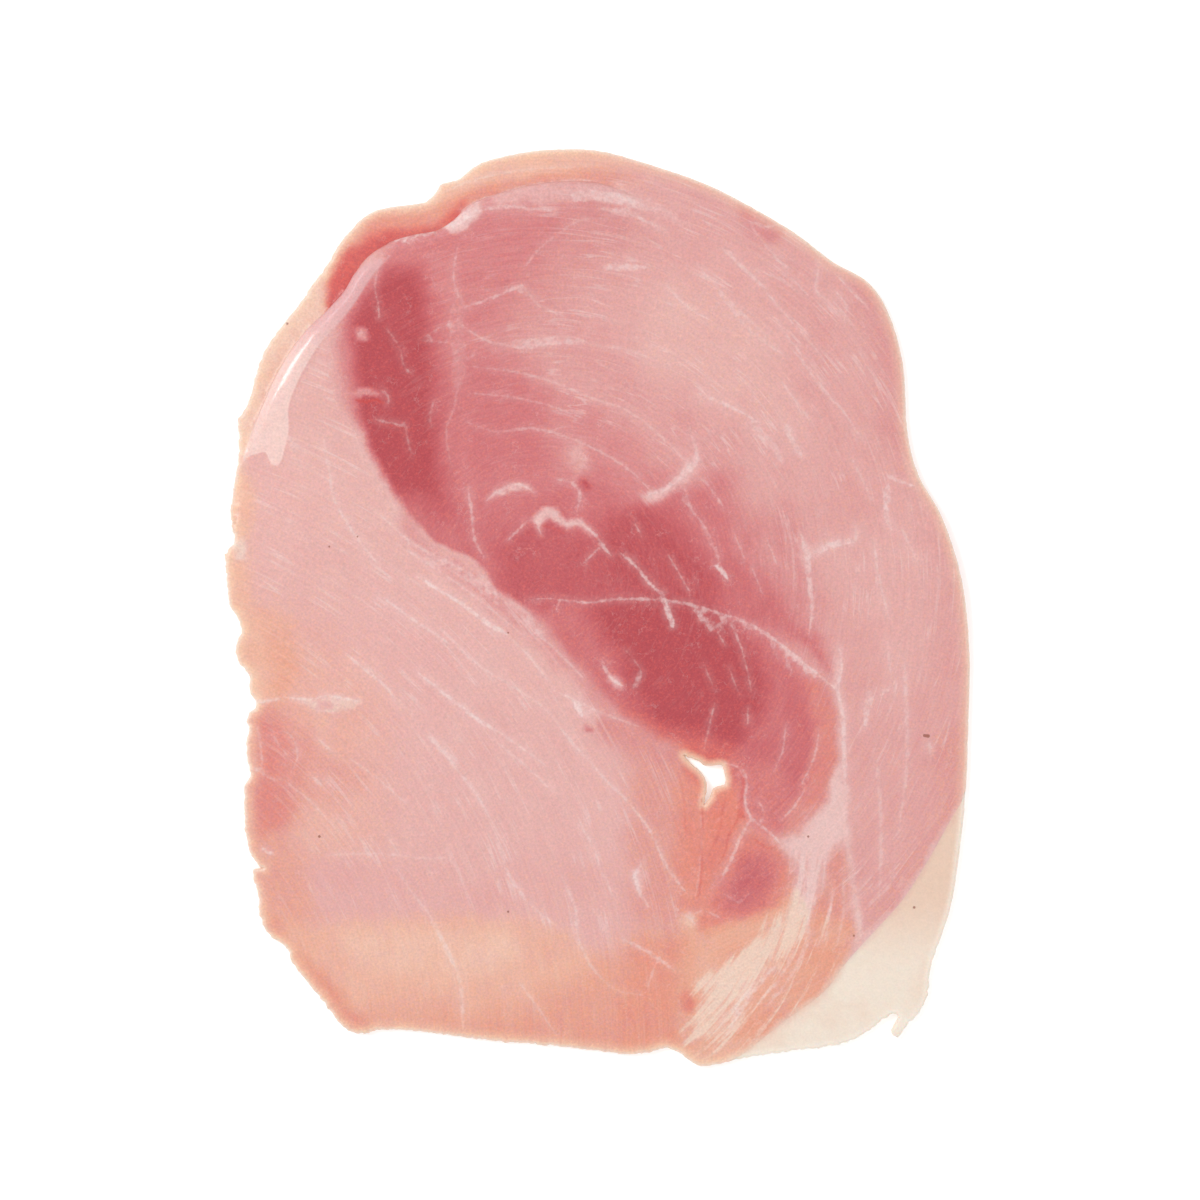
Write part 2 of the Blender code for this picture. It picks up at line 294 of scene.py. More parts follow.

# %% [markdown]
# ## Seams of fat and membrane
# White seams are where connective tissue runs between bundles of muscle. Each line here
# is one seam: how strongly it stands out, its half-width at its start and at its end, and
# the points it runs through. They are drawn as a distance field, so that the finish can
# give them a crisp, slightly feathered edge at any scale. The red creases, painted shade in
# deep red, are listed in the same form. The short fibres that hang from the long curved
# seam, and those in the core, are too many to list, so a rule with a fixed seed makes them.

# %% The seams
SEAMS = {
    "dark muscle network": [
        (0.35, 0.3, 0.2, [(-28, 71.6), (-28.8, 66), (-27.8, 62), (-26.8, 59.6)]),
        (0.14, 1.4, 1.5, [(-27.4, 62), (-28.4, 56), (-27.6, 50), (-28.4, 44)]),
        (0.4, 0.25, 0.3, [(-27.6, 60.8), (-29.6, 57.2), (-29, 53), (-27.4, 49.4), (-28, 46.6)]),
        (0.35, 0.5, 0.3, [(-27.4, 49.4), (-25.6, 49.8), (-24.4, 51.4)]),
        (0.25, 0.3, 0.2, [(-28, 46.6), (-28.6, 40.6), (-30.4, 35), (-29.4, 28.6)]),
        (0.35, 0.25, 0.2, [(-43.8, 68), (-44.4, 63.6), (-43.8, 60.6)]),
        (0.32, 0.25, 0.2, [(-42, 55.4), (-39.6, 51.8), (-38.6, 48), (-36.4, 45.8)]),
        (0.3, 0.2, 0.2, [(-38.6, 37), (-38, 33.4), (-37.2, 30.2)]),
        (0.35, 0.25, 0.2, [(-32.6, 41.4), (-33.6, 38.6), (-33.2, 36)]),
        (0.45, 0.3, 0.2, [(-43.6, 43.4), (-42, 42.4), (-41.8, 40)]),
        (0.5, 0.25, 0.2, [(-44.2, 37.4), (-41.4, 36.8), (-38, 36)]),
        (0.55, 0.35, 0.3, [(-26, 23.6), (-25.2, 18.6), (-24.8, 14), (-22.8, 10)]),
        (0.5, 0.3, 0.25, [
            (-27.4, 59.6), (-23, 61), (-18, 63), (-15.2, 64), (-12, 60.4), (-6.6, 58),
        ]),
        (0.45, 0.25, 0.3, [(-26.8, 56), (-23, 53.6), (-19, 52.4), (-13, 51.6)]),
        (0.4, 0.8, 0.9, [(-18.2, 52.8), (-13, 52.8), (-7, 53.4), (-2, 52.8)]),
        (0.3, 0.3, 0.2, [(-1, 52.4), (5, 51.6), (11.6, 49.4)]),
        (0.45, 0.5, 0.3, [(-18.2, 63.2), (-16.6, 63.6), (-15, 62.6)]),
        (0.5, 0.25, 0.2, [(-43.8, 61), (-43.6, 57.6)]),
        (0.4, 0.25, 0.2, [(-35, 53.4), (-33, 55), (-30.2, 56.2), (-29.2, 55.6)]),
        (0.35, 0.2, 0.2, [(-35.4, 53.2), (-29.6, 52.8)]),
    ],
    "arcs across the middle": [
        (0.35, 0.3, 0.2, [
            (-25.6, 48.2), (-20.6, 47.6), (-14.4, 46.6), (-7.8, 44.6), (-1.6, 42), (5.6, 39.4),
            (11.8, 34.8), (16.8, 29.8), (22, 23.8),
        ]),
        (0.38, 0.3, 0.25, [
            (-26.6, 37.2), (-20.6, 35.2), (-13.6, 35.8), (-7.2, 34.4), (-0.6, 31.6), (6, 27.6),
            (10.2, 23.6),
        ]),
        (0.55, 0.4, 0.7, [(9.6, 22.6), (12.8, 23.4), (15.6, 25.6), (17.6, 27.2), (20, 29.4)]),
        (0.4, 0.5, 0.3, [(19.4, 28), (19.6, 31.4), (18.4, 34.6)]),
        (0.35, 0.25, 0.2, [(-25.6, 42.8), (-18.6, 42.2), (-10.6, 40.6), (-2.6, 37.6)]),
    ],
    "knots in the middle": [
        (0.5, 0.3, 0.3, [(-22.2, 21.4), (-20.4, 23), (-17, 24.6), (-14.6, 24.2), (-12.8, 22.8)]),
        (0.55, 0.4, 0.3, [(-8.2, 25.6), (-5, 24.8), (-3.6, 22.6), (-4.2, 19.6)]),
        (0.7, 0.4, 0.3, [(-2.2, 15.8), (-0.4, 14.4), (0.8, 12.6), (2.6, 10.4)]),
        (0.6, 0.25, 0.2, [(-12.4, 17.2), (-11.4, 14.6)]),
        (0.6, 0.3, 0.2, [(-14.2, 17.4), (-18, 13.4)]),
        (0.5, 0.2, 0.2, [(0.6, 12.4), (-3, 8.8)]),
        (0.85, 0.3, 0.35, [(4.6, 10.8), (7.6, 8.2), (10, 5.2), (12.6, 2.6)]),
        (0.95, 0.5, 0.6, [(12.6, 3.2), (13.8, -0.4), (15, -3.8)]),
        (0.95, 0.6, 0.4, [(23.2, 8.4), (24.6, 7.6), (25.8, 5.6)]),
    ],
    "long curved seam": [
        (0.66, 0.25, 0.4, [
            (-13.8, 1.6), (-9.2, 1.8), (-2.2, 1), (5.2, 1.8), (15.4, 1.2), (24, -1), (32.2, -4.4),
            (38.4, -9), (45, -14.2), (48.2, -17.2),
        ]),
        (0.8, 0.4, 0.25, [(19, 0.6), (20.4, -2.6)]),
        (0.5, 0.2, 0.2, [(22.4, -2), (25.2, -7.4)]),
        (0.5, 0.25, 0.2, [(25.8, -2), (27.8, -6), (29.4, -11.2), (30.6, -17.2)]),
        (0.5, 0.2, 0.2, [(37, -7.8), (38, -12.8)]),
        (0.45, 0.2, 0.2, [(-7.6, 1.6), (-8.4, -0.4)]),
    ],
    "streaks in the middle": [
        (0.5, 0.2, 0.2, [(7.2, 17.2), (8.6, 14.2)]),
        (0.5, 0.25, 0.2, [(16.8, 21.6), (21, 16.4), (24.2, 10.4)]),
        (0.5, 0.25, 0.2, [(21.2, 25.4), (25.2, 19.8)]),
        (0.45, 0.2, 0.2, [(13.8, 10.8), (18.4, 3)]),
        (0.5, 0.2, 0.2, [(23.2, -19), (21, -28.6)]),
        (0.6, 0.25, 0.2, [(29.8, -20.2), (29.8, -23.2)]),
        (0.5, 0.2, 0.2, [(37.4, -23.4), (36.8, -28.4), (35.2, -32.2)]),
        (0.5, 0.2, 0.2, [(44, -24.6), (43, -30), (40.2, -35.6)]),
        (0.5, 0.25, 0.2, [(41.4, -35.6), (39.4, -39.2), (36.6, -42.2)]),
        (0.4, 0.15, 0.15, [(5.1, -8.2), (6.8, -10), (8.4, -12.2)]),
        (0.5, 0.35, 0.7, [(8.5, -12.4), (8, -14.6), (7, -16)]),
        (0.6, 0.3, 0.5, [(0.6, -10.2), (1.6, -12.6), (3, -14.4), (4.8, -15.6)]),
    ],
    "network beside the tear": [
        (0.6, 0.35, 0.3, [
            (25, -31), (28.2, -32), (29.6, -34.6), (29.2, -38.2), (30.6, -42), (34.2, -44.8),
            (37, -48),
        ]),
        (0.55, 0.35, 0.3, [(30.6, -42), (28.8, -44.8), (26.6, -50), (24.4, -54.4)]),
        (0.5, 0.25, 0.2, [(32.4, -44), (33, -40.8), (31.8, -38.4)]),
    ],
    "white seam down the right": [
        (0.45, 0.3, 0.6, [(48, -8), (48.6, -11.2), (47.8, -16.2), (48.8, -22.4), (49.2, -35.6)]),
    ],
    "right muscle": [
        (0.5, 0.8, 0.3, [(40.4, 14.8), (41.6, 10.6), (42, 5.2), (42.6, 0), (42, -5.2)]),
        (0.5, 0.9, 0.5, [(43.4, 11.2), (47.4, 12.8), (51.4, 13.4)]),
        (0.4, 0.4, 0.2, [(51.4, 13.4), (51.4, 16.8)]),
        (0.4, 0.3, 0.2, [(55, 13), (56, 6), (58, -2)]),
        (0.35, 0.3, 0.2, [(60.4, 16), (63.6, 9)]),
        (0.35, 0.3, 0.2, [(36.4, 20), (38.6, 12), (39.2, 4)]),
        (0.5, 0.8, 0.4, [(57.8, 24.6), (57.4, 19), (58.4, 15.4)]),
        (0.45, 0.4, 0.3, [(57.4, 26.4), (60.6, 25), (63, 24.2)]),
        (0.5, 0.8, 0.5, [(54.2, -16.4), (53.6, -20), (53.2, -24)]),
        (0.4, 0.6, 0.3, [(56.4, -17.4), (58.4, -15.6)]),
        (0.3, 0.3, 0.2, [(57.6, -6), (58.4, -14)]),
        (0.3, 0.5, 0.3, [(61, -10), (61.6, -30), (60, -44)]),
        (0.3, 0.5, 0.3, [(55.6, -30), (56.4, -44), (56, -58)]),
        (0.35, 0.3, 0.2, [(50.6, 29.8), (54.6, 21.2)]),
        (0.4, 0.7, 0.4, [(37.2, 36.8), (38.6, 33.4), (40.6, 30)]),
        (0.4, 0.3, 0.2, [(40.6, 48.8), (44.4, 44.4), (49.4, 38.4), (52.6, 33.4)]),
        (0.35, 0.3, 0.2, [(36.6, 45), (42.4, 37)]),
        (0.45, 0.5, 0.3, [(66, -26.6), (66.2, -29.4)]),
    ],
    "upper right": [
        (0.4, 0.5, 0.3, [(24.8, 71.6), (28.6, 68), (33.4, 63.6)]),
        (0.35, 0.25, 0.2, [(33.4, 63), (38.6, 57), (44.4, 50.4)]),
        (0.35, 0.25, 0.2, [(36, 56.4), (40, 51), (42.4, 46.4), (47, 40.6)]),
        (0.3, 0.25, 0.2, [(29.8, 77), (36.4, 68.4), (42, 62)]),
        (0.3, 0.25, 0.2, [(20, 68), (27.4, 60), (33.8, 54)]),
        (0.3, 0.25, 0.2, [(24, 62.6), (30.4, 55), (36.8, 50.6)]),
        (0.4, 0.35, 0.2, [(13.6, 64.2), (18, 59.8), (22.2, 57.4)]),
        (0.5, 0.45, 0.25, [(19.8, 42.8), (25, 40.6), (32.4, 36.8)]),
        (0.3, 0.9, 0.5, [(30.4, 36.4), (34.6, 32.6), (36.8, 28.6)]),
        (0.45, 0.9, 0.5, [(1, 68), (5.4, 67.8), (9.8, 67.8)]),
        (0.3, 0.3, 0.2, [(-8.6, 74), (-11.6, 71.6), (-13.6, 69.2), (-14.8, 67.2)]),
        (0.3, 0.3, 0.2, [(-8.6, 74), (-4, 77), (2, 77.6)]),
        (0.4, 0.25, 0.2, [(44, 68.4), (43.4, 63.4), (45.6, 61.4)]),
        (0.4, 0.25, 0.2, [(48, 66), (50.6, 62.8), (53.4, 60.4)]),
        (0.4, 0.25, 0.2, [(47, 63.4), (49.4, 60.4), (49, 57.4)]),
        (0.4, 0.3, 0.2, [(31, 77), (33.4, 76), (36, 76.6)]),
        (0.7, 0.5, 0.4, [(-31.4, 74.9), (-29, 75.6), (-26.2, 77.6), (-23.4, 79)]),
        (0.55, 0.35, 0.25, [(-23.4, 79), (-18.4, 79.8), (-12, 79.2), (-8.4, 79)]),
        (0.55, 0.9, 0.5, [(-27, 78.6), (-24, 80.6), (-20.6, 81.6)]),
        (0.5, 0.4, 0.3, [(-21.4, 81.8), (-14, 84), (-6, 85), (0, 85)]),
        (0.45, 1.1, 0.7, [(-6.4, 81.4), (-1, 82), (5, 81), (10, 79.4)]),
        (0.5, 0.5, 0.3, [(0.4, 79.4), (5.4, 79), (9.4, 77), (13.6, 75.2)]),
        (0.35, 0.3, 0.2, [(-33, 81.6), (-27.6, 84.4), (-22, 86), (-14, 87.4), (-2, 88)]),
        (0.9, 0.35, 0.3, [(-41.4, 71.8), (-39.6, 72.4), (-37.2, 73), (-34, 73.7), (-31.4, 74.1)]),
    ],
    "left muscle": [
        (0.4, 0.35, 0.3, [(-54.6, 33.6), (-54, 28.6)]),
        (0.4, 0.35, 0.25, [(-53.6, 29.2), (-52.9, 22.6), (-50, 16.8), (-47, 12.4), (-43.4, 8)]),
        (0.45, 0.35, 0.3, [
            (-44, 19), (-39, 14.4), (-34, 11), (-28, 8.2), (-24, 5.4), (-19, 1.6), (-12, -5),
            (-6, -11),
        ]),
        (0.4, 0.3, 0.2, [(-40, 12.6), (-34, 8.8), (-27, 4), (-21, -0.6), (-15, -5.6)]),
        (0.35, 0.25, 0.2, [(-34, 10.2), (-26, 5.4), (-20, 0.6)]),
        (0.4, 0.3, 0.2, [(-15, -3), (-8, -9), (-3, -14)]),
        (0.35, 0.25, 0.2, [(-24.6, 7.8), (-20, 3), (-15, -0.4), (-10.4, -4.6)]),
        (0.65, 0.3, 0.55, [(-36, 6.1), (-31, 3), (-26, -0.2), (-22, -3.2), (-17.6, -5.6)]),
        (0.4, 0.3, 0.2, [(-17.4, -6), (-13.6, -10), (-10.2, -14.4)]),
        (0.5, 0.3, 0.3, [(-44, 2.8), (-38, -1.6), (-33, -5), (-29.4, -7.4)]),
        (0.35, 0.25, 0.2, [(-28.6, -7.6), (-23.6, -11.6), (-11.8, -19.2), (-7.8, -23.8)]),
        (0.4, 0.3, 0.2, [(-7.8, -23.8), (-3.2, -29), (4.2, -37.4)]),
        (0.45, 0.3, 0.3, [(-50, -9.6), (-45.6, -13), (-42, -16), (-40.2, -19)]),
        (0.6, 0.35, 0.5, [(-35.8, -13), (-31.6, -16.4), (-27, -20), (-23.6, -22.6), (-20, -24.6)]),
        (0.35, 0.3, 0.2, [(-20.8, -26.4), (-15, -31), (-9, -36.8)]),
        (0.45, 0.3, 0.2, [(-25, -21.6), (-18, -26), (-10.6, -31.4)]),
        (0.4, 0.3, 0.2, [(-33.8, -24.6), (-31, -28), (-28, -30.2)]),
        (0.5, 0.3, 0.55, [(-34, -25.6), (-30.6, -29), (-28, -32.4)]),
        (0.4, 0.4, 0.2, [(-28, -32.4), (-24, -37.6), (-19.4, -46.2)]),
        (0.35, 0.25, 0.2, [(-49.4, -30), (-44, -34), (-38.4, -38.8)]),
        (0.35, 0.25, 0.2, [(-63.4, -33.8), (-58, -38), (-54.6, -41.6), (-51.6, -44.8)]),
        (0.3, 0.25, 0.2, [(-53.8, -49.4), (-44, -49), (-36, -49.8), (-29.6, -49.8)]),
        (0.4, 0.3, 0.2, [(-6.8, -25.4), (-1.6, -31), (3.6, -36.8)]),
        (0.4, 0.3, 0.25, [(-4.2, -43), (-1.2, -47.2), (1, -53.8), (3.4, -58)]),
        (0.45, 0.2, 0.6, [(-19.4, -50.6), (-17, -54.6), (-14.4, -58.4)]),
        (0.35, 0.3, 0.2, [(-14.4, -58.4), (-11.6, -61), (-8.6, -63.2)]),
        (0.5, 0.3, 0.3, [(0.4, -33.2), (5.4, -38.2), (10, -44), (13.6, -51.6), (18, -57.4)]),
        (0.6, 0.6, 0.3, [(8.6, -51), (7.4, -53.6), (8.2, -56.4), (10, -59.6)]),
        (0.7, 0.5, 0.4, [(-4.8, -18.8), (-3, -22)]),
        (0.4, 0.3, 0.2, [(-9, -16.4), (0.4, -20.8), (8.4, -23.8)]),
    ],
    "membrane on the left": [
        (0.6, 0.25, 0.25, [(-63, -17.8), (-57.2, -18.2), (-53.6, -17.6), (-47.2, -18.8)]),
        (0.5, 0.6, 0.4, [(-62.8, -28.6), (-62, -29.4)]),
        (0.35, 0.2, 0.2, [(-66, -25.6), (-63, -24.6), (-60.6, -26.4), (-60, -30), (-61.4, -33)]),
        (0.4, 0.3, 0.2, [(-68, -24), (-67.2, -29), (-67, -33)]),
        (0.5, 0.3, 0.2, [(-64.8, -25.4), (-63.6, -27.6)]),
        (0.6, 0.5, 0.2, [(-70.4, -31.6), (-67.4, -32.6)]),
        (0.6, 0.5, 0.3, [(-69.4, -18.6), (-66.4, -18.6), (-63, -18)]),
        (0.4, 0.4, 0.3, [(-69, -31.4), (-66.4, -33.4), (-64, -34.6)]),
        (0.4, 0.6, 0.3, [(-57.4, -33.4), (-55, -35.4)]),
        (0.5, 0.3, 0.2, [(-56, -26), (-53, -28.6)]),
        (0.6, 0.5, 0.3, [(-67, -48), (-64.4, -49.4)]),
    ],
    "bottom band": [
        (0.4, 0.35, 0.3, [(-7.2, -53.8), (-4.6, -60), (-4, -65.8), (-1.6, -71.2), (1.8, -75.2)]),
        (0.35, 0.2, 0.3, [(-40.2, -52), (-37, -57), (-33.8, -61)]),
        (0.45, 0.3, 0.6, [(-33.8, -61), (-30.8, -67), (-28.6, -71.6)]),
        (0.42, 0.5, 0.25, [(-28.6, -71.6), (-27.2, -76.8), (-27, -84.2)]),
        (0.35, 0.3, 0.2, [(-15.2, -75.4), (-11.6, -80.4), (-8.8, -84.6)]),
        (0.5, 0.4, 0.3, [(5.2, -66.2), (10.6, -69), (15.2, -72.4)]),
        (0.35, 0.3, 0.2, [(1.2, -74.8), (4, -76.4), (8.4, -77.2)]),
        (0.35, 0.3, 0.2, [(11.4, -71), (10, -75.4)]),
    ],
    "streaks beside the fat": [
        (0.5, 0.4, 0.25, [(36.4, -70.4), (33, -74), (29.4, -79), (25.2, -85.8)]),
        (0.45, 0.3, 0.2, [(31.4, -74.4), (27.4, -79.4), (23, -85)]),
        (0.45, 0.35, 0.25, [(39.4, -68), (36.4, -73.4), (31.8, -79)]),
        (0.4, 0.3, 0.2, [(42.4, -64), (41, -69), (37.4, -75), (33.6, -79.4)]),
        (0.45, 0.4, 0.2, [(43.6, -57), (42.2, -61.4), (41, -66)]),
        (0.4, 0.3, 0.2, [(46.6, -55), (46.2, -61), (45, -67)]),
        (0.3, 0.3, 0.2, [(48.8, -54), (48.8, -61), (47.6, -67.4)]),
        (0.4, 0.3, 0.2, [(39.6, -50), (41.6, -53.4), (41.6, -58.4)]),
        (0.25, 0.25, 0.2, [(20.4, -40), (20.6, -46), (20.2, -52), (19.4, -58)]),
        (0.6, 0.5, 0.4, [(18.2, -60.6), (19.2, -63)]),
        (0.35, 0.25, 0.2, [(14, -58.4), (17.6, -61.6), (21, -60.4), (25.6, -62.6)]),
        (0.35, 0.25, 0.2, [(25, -57), (28, -58.6), (30, -57)]),
    ],
}
# painted shade in deep red: the creases by the tear, in the oval and under the flap
CREASE_SHADES = [
    (0.45, 0.25, 0.3, [(20.6, -37.6), (20.9, -42), (20.4, -47), (20.8, -52), (19.8, -58)]),
    (0.25, 0.2, 0.25, [(25.4, -38), (24.6, -41.4), (24.4, -44), (22.8, -47.6)]),
    (0.5, 0.35, 0.3, [(28.2, -31.4), (29, -34.6), (28.6, -38.4), (29.2, -42.4)]),
    (0.35, 0.3, 0.2, [(28, -38.6), (27.8, -41.8), (26, -45.6), (25.2, -49), (23.6, -51.6)]),
    (0.2, 0.25, 0.2, [(16, -33), (17.2, -39), (17.4, -45.6)]),
    (0.5, 0.4, 0.3, [(-48.4, 41.4), (-46, 41), (-44, 41.4), (-42.4, 40.4)]),
    (0.35, 0.25, 0.2, [(-43.6, 36.6), (-40.6, 36.2), (-37, 35.4)]),
    (0.3, 0.25, 0.2, [(31, -46), (34, -48), (36.4, -46.6)]),
    (0.3, 0.25, 0.2, [(-13, 16.6), (-10, 16.2), (-6.6, 14.8)]),
]
TIP_LENGTH = 0.18
# The fibres that hang from the long curved seam: the stretch of it that carries them, how
# many there are, and their shortest and longest length.
FRINGE_STRETCH = (0.5, 0.93)
FRINGE_COUNT = 15
FRINGE_LENGTHS = (1.0, 5.5)
FRINGE_SEED = 4
# Fine parallel fibres of the core, each from its upper end.
CORE_FIBRES = [
    (17, 24), (20, 18), (22.4, 13.4), (27, 15), (30.6, 8), (33.4, 14), (21, -11), (26, -12),
]
CORE_FIBRE_DROP = (2.2, -5.4)


def fringe(seam):
    """Short fibres that hang from a seam, uneven as torn tissue, in the form of the lists above."""
    draw = np.random.default_rng(FRINGE_SEED)
    path = curve_through(seam, 0.5)
    first, last = (round(share * (len(path) - 1)) for share in FRINGE_STRETCH)
    hung = []
    for root in path[np.linspace(first, last, FRINGE_COUNT).round().astype(int)]:
        shortest, longest = FRINGE_LENGTHS
        length = shortest + (longest - shortest) * draw.random() ** 2
        lean = 0.3 + 0.2 * draw.random()
        tip = root + length * np.array([lean, -1])
        hung.append((0.35 + 0.25 * draw.random(), 0.24, 0.15, [tuple(root), tuple(tip)]))
    return hung


def strokes(lines):
    """Each line as its strength and a path of x, y and half-width, fine at both ends."""
    drawn = []
    for strength, first, last, points in lines:
        path = curve_through(points, 1.0) - SLICE_CENTRE
        share = np.linspace(0, 1, len(path))
        tips = 0.2 + 0.8 * ramp(np.minimum(share, 1 - share), 0, TIP_LENGTH)
        widths = (first + share * (last - first)) * tips
        drawn.append((strength, np.column_stack([path, widths])))
    return drawn


SEAMS["fringe of the curved seam"] = fringe(SEAMS["long curved seam"][0][3])
SEAMS["fine fibres of the core"] = [
    (0.4, 0.2, 0.15, [(x, y), (x + CORE_FIBRE_DROP[0], y + CORE_FIBRE_DROP[1])])
    for x, y in CORE_FIBRES
]
seams = [seam for group in SEAMS.values() for seam in strokes(group)]
crease_shades = strokes(CREASE_SHADES)
print("seams:", len(seams), "creases:", len(crease_shades))

# %% [markdown]
# ## Patches of colour
# Cooked ham is not one pink. Each patch here is a closed, smooth outline that is painted
# over the patches before it, with a soft edge. It sets three numbers. Depth is how much
# muscle pigment there is, from pale pink at 0 to deep rose at 1; a few patches use it for
# painted shade, in a pit, under a flap and in the crease beside the lip. Warmth is how far
# the pink is painted toward peach: painted light, the glow of the light table through the
# meat where it is thin and lies on it. Fat is how much cream fat or membrane lies in it.
# The patches come in two sets, one for each side of the main muscle edge, so that this edge
# can be crisp while all others are soft.

# %% The patches
PATCHES_LEFT = [
    # name, softness in mm, (depth, warmth, fat), outline
    ("middle of the pale muscle", 9, (0.1, 0, 0), [
        (-46, 6), (-36, 2), (-12, -12), (6, -30), (12, -46), (6, -58), (-16, -58), (-36, -44),
        (-48, -20),
    ]),
    ("warm belly", 9, (0.17, 0.5, 0), [
        (-80, 0), (-62, -2), (-50, -9), (-43, -18), (-44, -40), (-50, -56), (-62, -64), (-80, -60),
    ]),
    ("grey rose above the band", 6, (0.17, 0.1, 0), [
        (-56, -50), (-30, -53), (0, -50), (2, -62), (-30, -63), (-58, -63),
    ]),
    ("inner left strip", 3, (0.26, 0.85, 0), [
        (-72, 0), (-64, -1), (-60, -6), (-59.6, -13), (-63, -19), (-72, -20),
    ]),
    ("left strip", 2, (0.12, 0.95, 0.02), [
        (-85, 28), (-69.6, 27), (-69.6, 14), (-69, 2), (-66.4, -8), (-66.4, -19), (-85, -22),
    ]),
    ("red patch", 3.5, (0.52, 0.5, 0), [
        (-69, -23), (-64, -21), (-59, -25), (-57, -33), (-60, -41), (-64, -45), (-69, -44),
    ]),
    ("rose beside the red patch", 5, (0.3, 0.4, 0), [
        (-60, -27), (-52, -29), (-46, -33), (-52, -38), (-60, -37),
    ]),
    ("lower left edge", 3, (0.3, 0.6, 0), [
        (-72, -46), (-63, -46), (-58, -56), (-56, -64), (-62, -72), (-80, -70),
    ]),
    ("bottom band", 2.6, (0.15, 0.85, 0.02), [
        (-75, -63), (-58, -63), (-44, -62.2), (-25, -61.8), (-9, -63.4), (-3, -68), (3, -74),
        (5, -98), (-75, -98),
    ]),
    ("lower part of the bottom band", 4.5, (0.32, 0.75, 0), [
        (-70, -79), (-50, -80), (-20, -80), (-8, -76), (0, -70), (8, -65), (20, -67), (22, -98),
        (-70, -98),
    ]),
    ("bright part of the band", 3, (0.04, 0.85, 0.15), [
        (-50, -64.5), (-34, -64), (-20, -64), (-16, -68), (-24, -74), (-46, -72),
    ]),
    ("bottom left corner", 2.2, (0.42, 0.8, 0), [
        (-66, -62), (-62, -66), (-56, -72), (-50, -79), (-46, -84), (-52, -90), (-74, -72),
    ]),
    ("beside the tear", 4, (0.36, 0.4, 0.08), [
        (8, -26), (24, -27), (26, -64), (10, -63), (6, -54), (6, -40),
    ]),
    ("orange beside the tear", 2.4, (0.5, 0.8, 0.1), [
        (15.6, -32), (18, -28.6), (24, -30), (26, -64), (17, -62), (15.6, -50), (16.4, -40),
    ]),
    ("rose under the edge", 3, (0.44, 0.2, 0), [
        (-3, -15), (2, -14), (6, -18), (9, -23), (14, -26), (18, -30), (14, -32), (6, -29),
        (0, -25), (-3, -20),
    ]),
    ("lower right of the pale muscle", 3, (0.42, 0.9, 0), [
        (6, -69), (12, -67), (20, -66), (22, -74), (22, -95), (4, -95),
    ]),
    ("soft rose outside the core", 2.4, (0.3, 0.05, 0.02), [
        (-53, 53), (-50, 55), (-47, 50), (-46, 42), (-46, 37), (-49, 37), (-52, 42), (-53.4, 48),
    ]),
    ("fringe by the dark muscle", 1.6, (0.12, 0, 0.27), [
        (-48.8, 35), (-46, 31), (-41, 23.8), (-38, 19.4), (-35.4, 15.8), (-32, 12.2), (-37, 13.6),
        (-42, 19.6), (-46, 26), (-50, 32.6),
    ]),
    ("rose strip along the edge", 2, (0.38, 0.05, 0.02), [
        (-39, 18.6), (-34, 13.4), (-28, 9.6), (-22, 5.6), (-14, 0), (-4, -8), (4, -16), (8, -20),
        (14, -26), (9, -25), (1, -20), (-7, -12.6), (-14, -6.4), (-22, 0.6), (-30, 6.4),
        (-38, 12.6),
    ]),
    ("pale knot", 1.4, (0.15, 0, 0.3), [
        (-6.4, -16.6), (-3, -17), (0, -21), (-1.4, -23.4), (-4, -21),
    ]),
    ("red spot", 0.7, (0.8, 0.1, 0), [(-3, -23.4), (-2, -23.4), (-2, -24.2), (-3, -24.2)]),
    ("membrane", 0.5, (0.05, 0.1, 0.36), [
        (-62, -17.8), (-57, -18), (-53, -17.4), (-50, -18.2), (-47.2, -19), (-48.8, -20.2),
        (-52, -20.8), (-56, -20.8), (-58.8, -19.8), (-60.6, -18.4),
    ]),
    ("hollow in the membrane", 0.4, (0.14, 0.1, 0.06), [
        (-56.6, -18.8), (-53.4, -18.4), (-53, -20), (-56.2, -20.2),
    ]),
    ("tooth on the left rim", 0.6, (0.02, 0.1, 0.4), [
        (-73, 13.6), (-70.6, 13.6), (-69.6, 10), (-72, 9.6),
    ]),
    ("pale knot low down", 1.2, (0.1, 0, 0.3), [
        (6.6, -52.6), (8, -52), (9, -53.6), (8.4, -56), (7, -55),
    ]),
    ("knot at the end of the tear", 1.4, (0.05, 0.9, 0.35), [
        (16, -62.4), (19, -60.6), (21.4, -62), (20.6, -64.6), (17.4, -64.4),
    ]),
]
